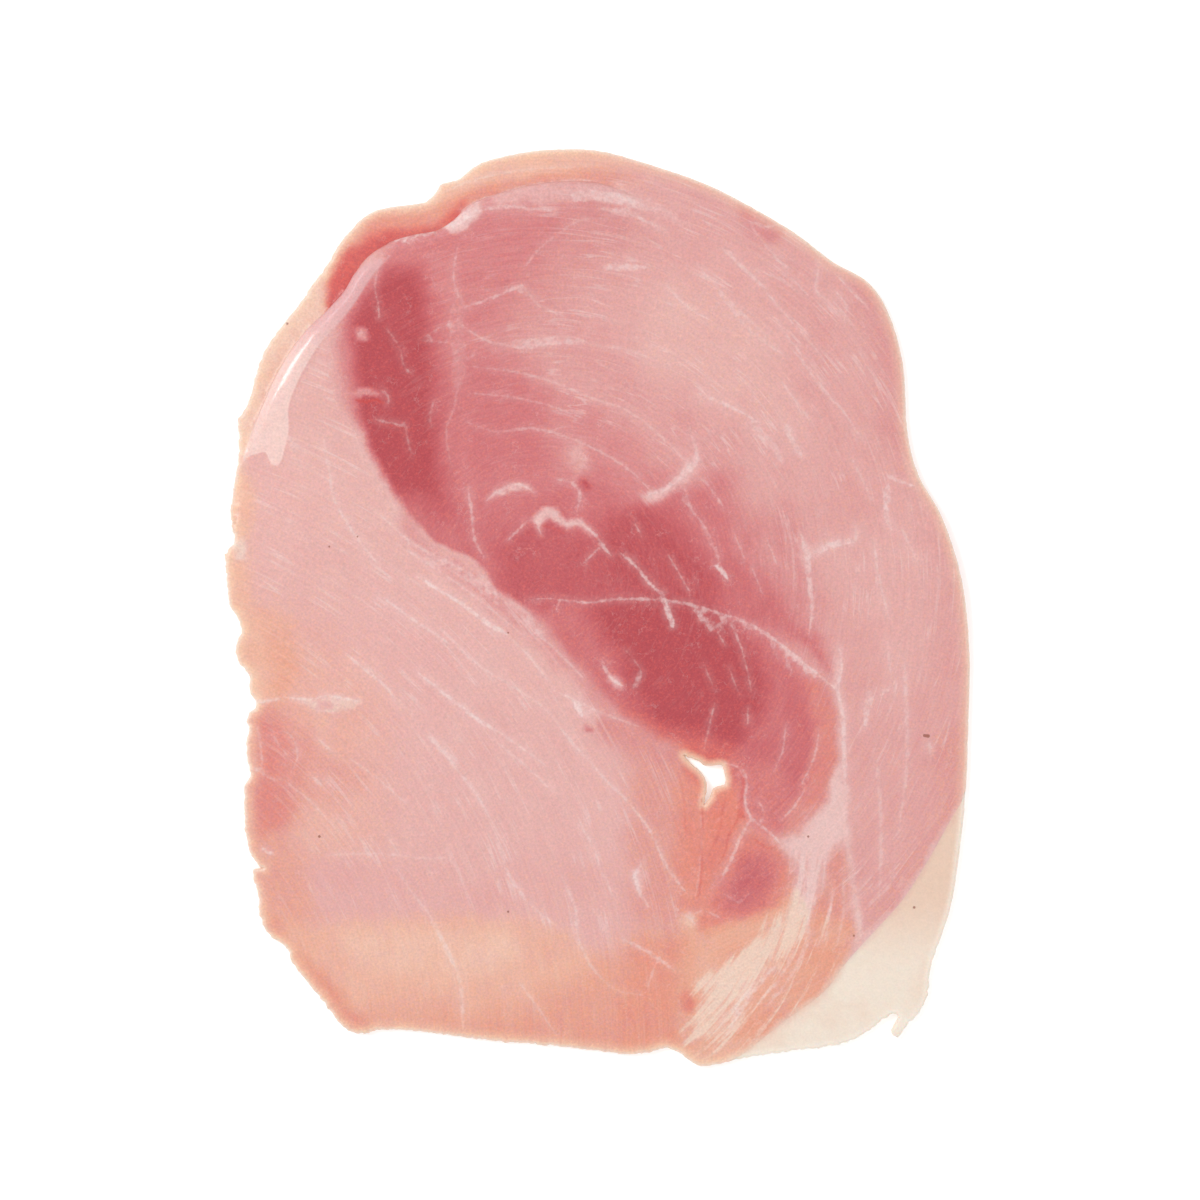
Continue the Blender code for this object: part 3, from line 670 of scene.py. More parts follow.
PATCHES_RIGHT = [
    ("upper part", 6, (0.4, 0.05, 0), [
        (-54, 84), (-20, 88), (0, 86), (10, 78), (2, 70), (-6, 62), (-4, 56), (4, 50), (6, 43),
        (-20, 38), (-54, 38),
    ]),
    ("rose beside the core", 4, (0.56, 0, 0), [
        (-30, 78), (-20, 79), (-8, 78), (-8, 73), (-14, 66), (-17, 60), (-23, 54), (-29, 44),
    ]),
    ("middle", 6, (0.5, 0, 0), [
        (-30, 52), (-10, 50), (6, 43), (18, 35), (28, 24), (38, 10), (42, -4), (20, -8), (-20, -2),
        (-32, 20),
    ]),
    ("inner middle", 5, (0.68, 0, 0), [
        (-25, 22), (-10, 24), (0, 26), (9, 21), (16, 25), (23, 26), (26, 16), (30, 7), (34, -3),
        (20, -6), (0, -2), (-22, 4),
    ]),
    ("paler arc", 4, (0.3, 0, 0.02), [
        (-14, 56.4), (0, 56), (8, 49), (16, 42), (21, 34), (24, 29), (19, 25), (12, 27.6),
        (6, 35), (-4, 41), (-12, 45),
    ]),
    ("rose right of the upper core", 4, (0.64, 0, 0), [
        (-27, 49), (-18, 47), (-11, 42), (-10, 32), (-13, 26), (-27, 26),
    ]),
    ("rose above the curved seam", 2.5, (0.7, 0.05, 0), [
        (24, 1), (32, -2), (40, -7), (46, -12.6), (43, -5), (37, 2), (28, 8), (22, 6),
    ]),
    ("oval", 2.6, (0.86, 0, 0), [
        (-22, 9), (-19, 13), (-15, 16.4), (-9, 17), (-2, 14), (3, 9.6), (8, 3), (4, 0), (-6, -1),
        (-14, 0), (-19, 3),
    ]),
    ("right of the oval", 3.4, (0.93, 0, 0), [
        (-1, 14), (2, 18), (9, 20), (15, 17.6), (19, 12), (23, 7), (24, 2), (24, -4), (14, -2),
        (6, 2),
    ]),
    ("rose left of the right muscle", 3.4, (0.46, 0, 0), [
        (35, 20), (40, 18.6), (42.6, 10), (42.6, 0), (40, -3), (36, 4), (33.6, 12),
    ]),
    ("pale heart of the upper right", 7, (0.1, 0.12, 0.04), [
        (8, 60), (20, 66), (32, 60), (38, 46), (40, 34), (30, 38), (16, 44), (8, 50),
    ]),
    ("upper core", 5, (1, 0, 0), [
        (-48.4, 61), (-44, 67.4), (-36, 68.4), (-33, 62), (-32, 54), (-31.4, 44), (-30.6, 34),
        (-30, 24), (-26, 14), (-27, 6), (-38, 12), (-48, 28), (-54, 44), (-53, 56),
    ]),
    ("lower end of the core", 4.4, (0.68, 0, 0), [
        (-42, 21), (-37, 22), (-30, 18.6), (-24, 13.6), (-22, 4), (-36, 6), (-46, 14),
    ]),
    ("top of the core", 2, (0.6, 0.1, 0.06), [
        (-46, 71), (-39, 74), (-30, 76), (-27, 71), (-32, 69.4), (-40, 70),
    ]),
    ("soft left side of the core", 2.4, (0.66, 0, 0.06), [
        (-53, 58), (-49.4, 58), (-48.2, 52), (-48, 44), (-48, 36), (-46, 30), (-50, 30),
        (-54, 40),
    ]),
    ("band under the curved seam", 2, (1, 0, 0), [
        (-8, 0.6), (0, 1), (6, 1.6), (15, 1), (24, -1.6), (30, -5), (35, -11), (36, -19),
        (31, -27), (20, -32), (8, -28), (-2, -20), (-6, -8),
    ]),
    ("rosy left end of the band", 3, (0.7, 0.1, 0), [
        (-10, 0.4), (-3, 0.6), (0, -4), (4, -9), (5.6, -16), (10, -21), (6, -27), (-6, -14),
    ]),
    ("right end of the band", 3.6, (0.72, 0.05, 0), [
        (27, -3.4), (34, -6), (40, -11), (45, -16), (47, -23), (46, -31), (43, -37.6),
        (39, -41.6), (35, -44), (30, -42), (26, -33), (28, -27), (33, -20), (32, -11),
    ]),
    ("outer end of the band", 2.2, (0.52, 0.5, 0), [
        (42, -14), (46.4, -18), (48.6, -25), (47, -34), (43, -41), (37, -45.4), (37, -42),
        (41, -35), (43.4, -27), (42, -20),
    ]),
    ("glow above the tear", 3, (0.82, 0.7, 0.04), [
        (6, -21), (14, -24.6), (22, -26), (27, -29), (26, -36), (14, -34), (4, -28),
    ]),
    ("peach ground of the corner", 3, (0.28, 1, 0.04), [
        (14, -62), (28, -58), (40, -56), (49, -60), (50, -70), (41, -84), (28, -93), (12, -93),
    ]),
    ("orange strip under the tear", 2, (0.6, 0.9, 0.12), [
        (18, -36), (22, -35.6), (28, -35.4), (28.8, -38), (29.6, -42), (27.6, -46), (24.4, -52),
        (21, -60), (15, -62), (14, -50),
    ]),
    ("rose beside the tear", 1.8, (0.66, 0.25, 0.12), [
        (29, -31), (34, -31), (38, -36), (37, -43), (33, -45), (30.4, -43), (29.4, -38),
    ]),
    ("small muscle", 2.2, (0.58, 0.7, 0.12), [
        (29, -44.6), (34, -45.6), (37.4, -48.4), (38.4, -53), (37.2, -58), (33.6, -61),
        (28, -62.6), (22, -64.4), (17.6, -62.6), (21.6, -58), (24.6, -53), (27, -48),
    ]),
    ("heart of the small muscle", 3, (0.76, 0.1, 0.08), [
        (26.4, -53), (29, -50), (33, -49.6), (35, -53.4), (33, -58.4), (29, -60.6), (24.6, -60),
        (25, -56),
    ]),
    ("peach under the small muscle", 2, (0.22, 1, 0.05), [
        (14, -63.4), (22, -65), (28, -63.4), (33, -61.8), (37, -59.6), (36, -63), (30, -66.6),
        (24, -69), (22, -73), (18, -74), (14, -71),
    ]),
    ("right muscle", 3.2, (0.26, 0.06, 0), [
        (48, 28), (60, 32), (74, 12), (80, -20), (74, -44), (58, -66), (52, -68), (50, -40),
        (49, -10), (48, 10),
    ]),
    ("paler part of the right muscle", 5, (0.18, 0.02, 0.02), [
        (44, 14), (52, 16), (62, 20), (68, 4), (65, -16), (59, -24), (56, -20), (52, 0), (46, 6),
    ]),
    ("upper right edge", 2.6, (0.34, 0, 0), [
        (50, 68), (57, 62), (62, 50), (64, 32), (56, 34), (55, 50), (50, 62),
    ]),
    ("patch at the top rim", 1.6, (0.46, 0, 0), [
        (28, 81), (34, 79), (38, 75.6), (34, 72.6), (29.4, 76),
    ]),
    ("lower right edge", 3, (0.34, 0.25, 0), [
        (68, -26), (74, -26), (74, -40), (66, -52), (58, -64), (55, -62), (62, -50), (68, -40),
    ]),
    ("white seam down the right", 0.8, (0.2, 0, 0.32), [
        (48, -6), (49, -9), (48.8, -16), (49.6, -24), (50, -36), (50.2, -42), (49, -44),
        (48, -34), (47.8, -24), (47.2, -16), (47.2, -10),
    ]),
    ("fat above the fork", 1.6, (0.18, 0.12, 0.56), [
        (47.6, -31), (49.8, -40), (50.4, -46), (48.4, -46.4), (46.6, -49), (45, -54),
        (43, -59.4), (41, -63), (39, -60), (39.4, -52), (37.6, -48.6), (36.4, -46.4), (39, -45.4),
        (42.4, -42.4), (45.4, -38.6),
    ]),
    ("left arm of the fat", 1.8, (0.1, 0.8, 0.54), [
        (39.6, -57), (41, -61.6), (39.4, -66), (35, -71), (30.6, -76), (26, -81), (22, -86),
        (18.6, -85.6), (17.6, -82), (21, -78), (19.6, -75), (23, -71.6), (28.6, -68.6),
        (33, -65), (36.6, -61),
    ]),
    ("right arm of the fat", 0.8, (0.15, 0.1, 0.42), [
        (49.4, -44), (50.4, -48), (51.2, -54), (52.4, -60), (53.4, -65), (50.6, -68),
        (50.4, -62), (49.8, -56), (48.8, -49),
    ]),
    ("tongue between the arms", 2, (0.42, 0.55, 0), [
        (47.6, -47.6), (49, -51), (49.8, -57), (50, -64), (48.4, -69), (44, -66), (43, -61),
        (45, -56), (46.4, -50.6),
    ]),
    ("lean beside the fat", 1.6, (0.32, 1, 0), [
        (44, -61), (50.6, -64), (49.8, -69), (46.8, -75.4), (41.2, -81.4), (34, -86.6),
        (27, -90), (18, -94), (14, -90), (22, -87.6), (28, -83.6), (33, -77), (38, -70.6),
        (41.6, -65),
    ]),
    ("bottom knob", 2.2, (0.2, 1, 0.05), [
        (14, -87.4), (22, -86.6), (30, -86), (33, -88), (29, -94), (16, -95),
    ]),
    ("pale strip at the corner", 1, (0.1, 0.6, 0.45), [
        (14.6, -71), (16.8, -72), (16.4, -78), (17, -83), (19, -86.4), (16, -87), (14.4, -80),
    ]),
    ("lean island in the fat", 0.7, (0.6, 0.9, 0), [
        (16.6, -76.6), (18.4, -76.4), (19.6, -78.4), (18.8, -80.4), (16.8, -80),
    ]),
    ("white wedge under the lip", 0.6, (0.25, 0, 0.5), [
        (-31.6, 74.2), (-29.8, 74), (-27, 75.4), (-24.4, 77.4), (-22.4, 79.2), (-23.8, 79.8),
        (-26.4, 78.2), (-28.4, 76.2), (-30.6, 74.9),
    ]),
    ("tissue under the lip", 0.9, (0.3, 0, 0.3), [
        (-30.6, 75.4), (-27, 79), (-23, 81.6), (-16, 83.8), (-8, 85), (0, 84.8), (6, 83.4),
        (12, 81), (18, 77.6), (20, 75), (15, 76), (9, 79), (2, 80.6), (-5, 81.4), (-8, 80.2),
        (-12, 80), (-18, 80.4), (-23, 79.6), (-27, 77.4),
    ]),
    ("knot", 0.6, (0.3, 0, 0.46), [
        (-14.2, 17.2), (-12.4, 19), (-10, 20), (-8, 19.4), (-6.6, 18), (-4, 17.4),
        (-1.4, 16.2), (-0.6, 14.6), (-1.8, 15.2), (-4.4, 16.4), (-6.2, 16.4), (-8, 16.8),
        (-9.6, 17.4), (-11, 16.8), (-11.6, 14.6), (-12.4, 16.4),
    ]),
    ("crescent", 0.6, (0.3, 0, 0.42), [
        (-22, 21.4), (-20, 23.4), (-17, 25), (-14.8, 24.6), (-12.8, 22.8), (-15, 23.4),
        (-17.6, 23.6), (-20, 22.4),
    ]),
    ("tuft", 1.6, (0.32, 0, 0.26), [
        (-6, 32), (-3.8, 33.4), (-2, 30.4), (-2.6, 27), (-4.6, 26.4), (-6, 28.6),
    ]),
    # painted shade in a small pit under the tuft
    ("shade in the pit under the tuft", 0.6, (0.95, 0.1, 0), [
        (-3.8, 25.8), (-2, 25.6), (-1.4, 23.8), (-2.8, 23.4),
    ]),
    ("tuft on the arc", 1.2, (0.3, 0, 0.4), [
        (8.6, 22.2), (10.8, 23.4), (14, 24.4), (16, 27.2), (17.8, 30), (20.6, 30.2),
        (19.6, 27.2), (17.2, 24.8), (15, 22.8), (12.2, 21.4), (9.6, 20.6),
    ]),
    ("tissue at the edge", 0.7, (0.4, 0, 0.26), [
        (1.8, -13), (3.4, -13.6), (5.2, -15), (5, -16.4), (3, -16), (1.8, -14.6),
    ]),
    ("small flap", 0.5, (0.5, 0, 0.2), [
        (-49.4, 42.4), (-47.6, 43.9), (-45, 43.9), (-43, 42.7), (-42.4, 41), (-43.4, 41.5),
        (-45, 42.1), (-47, 41.5), (-48.6, 41.6),
    ]),
    ("shadow under the flap", 0.4, (1, 0.15, 0), [
        (-47.6, 41.3), (-45, 41.9), (-43.2, 41.2), (-44.4, 40.4), (-47, 40.3),
    ]),
    ("upper flap", 0.4, (0.45, 0, 0.28), [
        (-48, 55.4), (-46.8, 55.9), (-45.2, 54), (-46, 53.2), (-48, 53.2),
    ]),
    ("tissue by the right muscle", 1.2, (0.16, 0, 0.22), [
        (40.4, 15), (41.6, 12.4), (45, 12.8), (50, 14), (51.6, 17), (52, 13.4), (46, 11.4),
        (43, 9.4), (41.2, 8),
    ]),
]
STREAKY_CORNER = [
    (37, -51), (43, -49), (47, -57), (49, -68), (45, -77), (38, -84), (28, -90), (17, -89),
    (17, -80), (21, -72), (30, -66), (36, -60),
]
print("patches:", len(PATCHES_LEFT), "left,", len(PATCHES_RIGHT), "right")

# %% [markdown]
# ## The outer band and the ribbon
# Outside the pleat runs the outer band, painted peach for the glow of the light table
# through its thin meat, and with painted shade in deep red in the crease beside the lip.
# On the lip itself lies a ribbon of pale, slightly lilac fat, which widens below into a
# thin wet flap with a free lower edge.

# %% Band and ribbon outlines
PATCHES_BAND = [
    ("whole band", 4, (0.0, 0.8, 0.28), [
        (-85, 20), (-60, 20), (-30, 60), (0, 78), (30, 70), (30, 100), (-85, 100),
    ]),
    ("upper band", 4, (0.12, 0.95, 0.02), [
        (-34, 80), (-24, 84), (-10, 86), (6, 85), (18, 79), (27, 76), (30, 96), (-34, 96),
    ]),
    # painted shade, fading out from the crease beside the lip
    ("rosy middle of the band", 1.8, (0.42, 0.75, 0), [
        (-54, 60.6), (-53.8, 65), (-52.4, 69.6), (-49.4, 74), (-45.4, 77.8), (-40, 79.2),
        (-33, 80), (-28, 82.6), (-22, 84.6), (-14, 86), (-4, 87), (8, 85.6), (-6, 82),
        (-24, 78), (-36, 73), (-49, 60), (-53, 57.6),
    ]),
    # painted shade: the crease beside the lip, darkest next to it
    ("red crease", 1.4, (0.9, 0.75, 0), [
        (-54.2, 60.2), (-53.8, 64.6), (-51.6, 69), (-48.2, 72.2), (-44.4, 74.4), (-40, 75.4),
        (-34, 76), (-30, 77.8), (-26.6, 80.6), (-27, 77), (-36, 73), (-46, 68), (-50, 61),
        (-53.6, 57),
    ]),
]
RIBBON = [
    (-41.4, 70), (-43.4, 69.4), (-45.6, 68), (-47.6, 66.2), (-49.2, 64.4), (-51, 62.4),
    (-54.2, 59), (-57.4, 56.2), (-60.2, 52.6), (-63.4, 47.6), (-66.2, 41.8), (-68, 38),
    (-69.8, 33), (-71.4, 28.4), (-70.2, 29.8), (-68, 30.8), (-66.2, 31), (-65.2, 28.8),
    (-63.8, 28.4), (-63, 29.6), (-62.4, 31.8), (-61.6, 35), (-61.6, 40), (-60, 44.4),
    (-57.4, 49.4), (-54.8, 53.2), (-52, 56.2), (-49.4, 59.2), (-47.4, 62.2), (-45.8, 64.8),
    (-43.8, 67.4),
]
ribbon = curve_through(RIBBON, 0.7, closed=True) - SLICE_CENTRE

# %% [markdown]
# ## Marks
# A few dark specks are pores, bits of spice and tiny blood vessels.

# %% The specks
SPECKS = [
    (-62.1, 56.6, 0.35), (-18, -5, 0.22), (-18, -60.6, 0.25), (-48, 14.2, 0.2),
    (-53.6, 12.2, 0.2), (-55.6, -45.6, 0.3), (63, -59.8, 0.3), (51, -65.4, 0.25),
    (41.8, -45.6, 0.25), (65.8, -25.6, 0.35), (65, -25.5, 0.3),
]
specks = np.array(SPECKS) - np.append(SLICE_CENTRE, 0)

# %% [markdown]
# ## One flat sheet of triangles
# The sheet is triangulated flat, like a pattern, and draped afterwards. Rows of points
# go where something happens: round the rim, along the S of the pleat, on the muscle edge
# and on each seam, so that a field that peaks on a line peaks on points of the mesh. An
# even lattice fills the rest. A point that lands too near an earlier one is skipped.

# %% Gather the points
LATTICE_SPACING = 0.88
LEAST_SPACING = 0.3
SEAM_SPACING = 0.6


class PointCloud:
    """Points of the flat sheet, no two nearer than a least distance."""

    def __init__(self, cell):
        self.cell = cell
        self.points = []
        self.edges = []
        self.cells = {}

    def near(self, x, y, least):
        column, row = int(x // self.cell), int(y // self.cell)
        for i in (column - 1, column, column + 1):
            for j in (row - 1, row, row + 1):
                for k in self.cells.get((i, j), ()):
                    if math.dist(self.points[k], (x, y)) < least:
                        return True
        return False

    def add(self, line, least, linked=False, closed=False):
        first = len(self.points)
        for x, y in line:
            if linked or not self.near(x, y, least):
                cell = (int(x // self.cell), int(y // self.cell))
                self.cells.setdefault(cell, []).append(len(self.points))
                self.points.append((float(x), float(y)))
        if linked:
            last = len(self.points) - 1
            self.edges += [(k, k + 1) for k in range(first, last)]
            if closed:
                self.edges.append((last, first))


cloud = PointCloud(LATTICE_SPACING)
cloud.add(outline, 0, linked=True, closed=True)
cloud.add(tear, 0, linked=True, closed=True)
cloud.add(fat_line, 0, linked=True)
for share in (-1, -0.75, -0.5, -0.25, 0, 0.25, 0.5, 0.75, 1):
    cloud.add(beside(pleat, share * PLEAT_HALF_WIDTH), 0.12)
for inward in (0.22, 0.55):
    cloud.add(beside(outline, -inward, closed=True), 0.2)
    cloud.add(beside(tear, -inward, closed=True), 0.2)
cloud.add(muscle_edge, LEAST_SPACING)
cloud.add(ribbon, LEAST_SPACING)
cloud.add(specks[:, :2], LEAST_SPACING)
for _, seam in seams + crease_shades:
    cloud.add(curve_through(seam[:, :2], SEAM_SPACING), LEAST_SPACING)
low, high = outline.min(axis=0), outline.max(axis=0)
row_height = LATTICE_SPACING * math.sqrt(3) / 2
for row in range(math.ceil((high[1] - low[1]) / row_height)):
    columns = np.arange(low[0] + (row % 2) * LATTICE_SPACING / 2, high[0], LATTICE_SPACING)
    cloud.add([(x, low[1] + row * row_height) for x in columns], 0.58 * LATTICE_SPACING)
print("points for the sheet:", len(cloud.points))


# %% Triangulate the sheet
def inside_loop(points, loop):
    """Which of the points lie inside a closed loop."""
    within = np.zeros(len(points), bool)
    for start, end in zip(loop, np.roll(loop, -1, axis=0)):
        if start[1] == end[1]:
            continue
        level = (start[1] > points[:, 1]) != (end[1] > points[:, 1])
        slope = (end[0] - start[0]) / (end[1] - start[1])
        crossing = start[0] + (points[:, 1] - start[1]) * slope
        within ^= level & (crossing > points[:, 0])
    return within


corners, _, triangles, *_ = delaunay_2d_cdt(
    [Vector(point) for point in cloud.points], cloud.edges, [], 0, 1e-4, False
)
corners = np.array([corner[:] for corner in corners])
triangles = np.array([tuple(triangle) for triangle in triangles])
middles = corners[triangles].mean(axis=1)
kept = inside_loop(middles, outline) & ~inside_loop(middles, tear)
triangles = triangles[kept]
fat_loop = np.vstack([fat_line, [(120, -30), (120, -140), (20, -140)]])
in_fat = inside_loop(middles[kept], fat_loop)
print("triangles in the sheet:", len(triangles), "of which fat:", int(in_fat.sum()))

# %% [markdown]
# ## Fields over the sheet
# Each point of the sheet now learns what it is made of. A patch gives a soft weight from
# the distance to its outline. A seam gives how far inside it a point lies, which stays in
# millimetres so that the material can cut it sharply later. All distances are read at
# points that a smooth noise has moved a little, so no boundary is as smooth as its
# drawing.

# %% Measure the fields
SEAM_REACH = 2.5
PATCH_WANDER = 0.9
SEAM_WANDER = 0.22


def noise_shift(points, size, scale, seed):
    """The points moved by a smooth noise of this size and scale in millimetres."""
    shifts = [
        noise.noise_vector(Vector((x / scale, y / scale, seed)))[:2] for x, y in points
    ]
    return points + size * np.array(shifts)


def patch_weight(points, patch, softness):
    """How much of a patch covers each point, from 0 to 1."""
    loop = curve_through(patch, 2.0, closed=True) - SLICE_CENTRE
    reach = softness + 1
    near = ((points > loop.min(axis=0) - reach) & (points < loop.max(axis=0) + reach)).all(axis=1)
    weight = np.zeros(len(points))
    there = points[near]
    away = np.abs(nearest_on_line(there, np.vstack([loop, loop[:1]]))[1])
    away = np.where(inside_loop(there, loop), away, -away)
    weight[near] = ramp(away, -softness, softness)
    return weight


def paint(points, base, patches):
    """Depth, warmth and fat at each point, the patches painted in order on the base."""
    painted = np.tile(np.array(base, float), (len(points), 1))
    for _, softness, values, patch in patches:
        weight = patch_weight(points, patch, softness)[:, None]
        painted = painted * (1 - weight) + np.array(values) * weight
    return painted


def depth_inside(points, stroke):
    """How far inside a stroke each point lies, in millimetres; negative outside it."""
    best = np.full(len(points), -99.0)
    reach = stroke[:, 2].max() + SEAM_REACH
    low, high = stroke[:, :2].min(axis=0) - reach, stroke[:, :2].max(axis=0) + reach
    near = ((points >= low) & (points <= high)).all(axis=1)
    there = points[near]
    found = np.full(len(there), -99.0)
    for start, end in zip(stroke, stroke[1:]):
        step = end[:2] - start[:2]
        offset = there - start[:2]
        share = np.clip(offset @ step / max(step @ step, 1e-9), 0, 1)
        offset = offset - share[:, None] * step
        width = start[2] + share * (end[2] - start[2])
        found = np.maximum(found, width - np.hypot(offset[:, 0], offset[:, 1]))
    best[near] = found
    return best


def line_field(points, lines):
    """How far inside the nearest line each point lies, and how strong that line is."""
    inside = np.full(len(points), -SEAM_REACH)
    strength = np.zeros(len(points))
    for level, stroke in lines:
        depth = depth_inside(points, stroke)
        nearer = depth > inside
        inside[nearer] = depth[nearer]
        strength[nearer] = level
    return inside, strength


wandered = noise_shift(corners, PATCH_WANDER, 4.0, 5.0)
wandered = noise_shift(wandered, 0.5 * PATCH_WANDER, 1.6, 6.0)
left = paint(wandered, (0.1, 0.1, 0), PATCHES_LEFT)
right = paint(wandered, (0.24, 0.03, 0), PATCHES_RIGHT)
band_colours = paint(wandered, (0.2, 0.7, 0), PATCHES_BAND)

pleat_along, pleat_behind, _ = nearest_on_line(corners, pleat)
pleat_length = pleat_along.max()
on_band = ramp(-pleat_behind, -0.15, 0.45)
on_band *= ramp(pleat_along, 0, 3) * ramp(pleat_length - pleat_along, 2, 26)
left += on_band[:, None] * (band_colours - left)
right += on_band[:, None] * (band_colours - right)

_, edge_side, _ = nearest_on_line(noise_shift(corners, 0.7, 3.0, 8.0), muscle_edge)
down = -corners[:, 1]
# crispest from Y 0 to 14 mm, and softer above and below
edge_softness = 0.8 + 0.6 * ramp(-down, 14, 24) + 1.2 * ramp(-down, 30, 42)
edge_softness += ramp(down, 0, 8) + 0.6 * ramp(down, 20, 28) + ramp(down, 36, 44)
fields = {"edge": np.clip(-edge_side / edge_softness, -6, 6)}
seam_places = noise_shift(corners, SEAM_WANDER, 1.8, 7.0)
fields["seam"], fields["seam_strength"] = line_field(seam_places, seams)
fields["crease_shade"], fields["crease_shade_strength"] = line_field(seam_places, crease_shades)
fields["speck"] = np.full(len(corners), -SEAM_REACH)
for x, y, size in specks:
    away = np.hypot(corners[:, 0] - x, corners[:, 1] - y)
    fields["speck"] = np.maximum(fields["speck"], size - away)
ribbon_away = np.abs(nearest_on_line(corners, np.vstack([ribbon, ribbon[:1]]))[1])
fields["ribbon"] = np.where(inside_loop(corners, ribbon), ribbon_away, -ribbon_away)
fields["rim"] = np.abs(nearest_on_line(corners, np.vstack([outline, outline[:1]]))[1])
fields["tear"] = np.abs(nearest_on_line(corners, np.vstack([tear, tear[:1]]))[1])
fields["fat_line"] = np.abs(nearest_on_line(wandered, fat_line)[1])
fields["streaky"] = patch_weight(wandered, STREAKY_CORNER, 3.0)
vectors = {"left": left, "right": right}
print("fields:", ", ".join(sorted(fields)), "and the colours of both sides")

# %% [markdown]
# ## Relief
# Cut meat is never quite flat. Bundles of fibre stand a few hundredths of a millimetre
# proud, the seams shrink less than the meat in cooking and so lie a little higher, and
# the ribbon of fat on the lip is thick and rounded, with a sloping shoulder along it that
# catches the light. The rim of the slice is rounded over, because a soft edge rolls under
# its own weight.

# %% Thickness and relief
RIM_ROUND = 0.5
RIBBON_HEIGHT = 0.18
RIBBON_ROUND = 1.2
RIDGE_SLOPE = 0.35
RIDGE_START = 0.6
RIDGE_END = 1.5
RIDGE_ROUND = 1.5
RIDGE_FROM = (40, 45)
RIDGE_TO = (54, 57)
SEAM_HEIGHT = 0.06
BUNDLE_HEIGHT = 0.07
BUNDLE_SIZE = 5
GRAIN_HEIGHT = 0.035
GRAIN_SIZE = 1.6
EDGE_GROOVE = 0.05
EDGE_GROOVE_WIDTH = 0.8
RIM_DROP = 0.4
UNDER_HEIGHT = 0.05
UNDER_SIZE = 4
UNDER_RIM_RISE = 0.3


def rough_noise(points, scale, seed):
    """Smooth noise from -1 to 1 at each point, with bumps of about scale millimetres."""
    return np.array([noise.noise(Vector((x / scale, y / scale, seed))) for x, y in points])


def round_over(distance, radius):
    """The height, from 0 to 1, of a surface that curves up from its edge."""
    share = np.clip(1 - distance / radius, 0, 1)
    return np.sqrt(1 - share ** 2)


edge_distance = np.minimum(fields["rim"], fields["tear"])
relief = BUNDLE_HEIGHT * rough_noise(corners, BUNDLE_SIZE, 1.0)
relief = relief + GRAIN_HEIGHT * rough_noise(corners, GRAIN_SIZE, 2.0)
relief += SEAM_HEIGHT * fields["seam_strength"] * ramp(fields["seam"], -0.3, 0.2)
relief += RIBBON_HEIGHT * round_over(fields["ribbon"], RIBBON_ROUND) * (fields["ribbon"] > 0)
ridge = RIDGE_SLOPE * (np.clip(pleat_behind, RIDGE_START, RIDGE_END) - RIDGE_START)
ridge *= ramp(corners[:, 1], *RIDGE_FROM) * (1 - ramp(corners[:, 1], *RIDGE_TO))
relief += ridge * (fields["ribbon"] > 0) * round_over(fields["ribbon"], RIDGE_ROUND)
groove = 1 - ramp(np.abs(edge_side), 0, EDGE_GROOVE_WIDTH)
relief -= EDGE_GROOVE * groove * (right[:, 0] > 0.5)
relief -= RIM_DROP * (1 - round_over(edge_distance, RIM_ROUND))
under_relief = UNDER_HEIGHT * rough_noise(corners, UNDER_SIZE, 6.0)
under_relief -= UNDER_RIM_RISE * (1 - round_over(edge_distance, RIM_ROUND))
print("relief:", relief.min().round(2), "to", relief.max().round(2), "mm")


# %% [markdown]
# ## From sheet to solid pieces
# The sheet is draped, its normals are read, and the top and the underside are set half a
# thickness to either side. The wall between them is three rings that bulge slightly. The
# lean and the fat are parted along their line but share its points exactly, so the two
# pieces touch with no gap and still have a material slot each.

# %% Build the pieces
WALL_RINGS = 3
WALL_BULGE = 0.14


def sheet_normals(places):
    """Smooth normals of the draped sheet."""
    work = bpy.data.meshes.new("sheet")
    work.from_pydata([tuple(place) for place in places], [], [tuple(t) for t in triangles])
    normals = np.empty(len(places) * 3)
    work.vertex_normals.foreach_get("vector", normals)
    bpy.data.meshes.remove(work)
    return normals.reshape(-1, 3)


middle = drape(corners)
normals = sheet_normals(middle)
top = middle + normals * (THICKNESS / 2 + relief)[:, None]
under = middle - normals * (THICKNESS / 2 + under_relief)[:, None]
under[:, 2] = np.maximum(under[:, 2], 0)


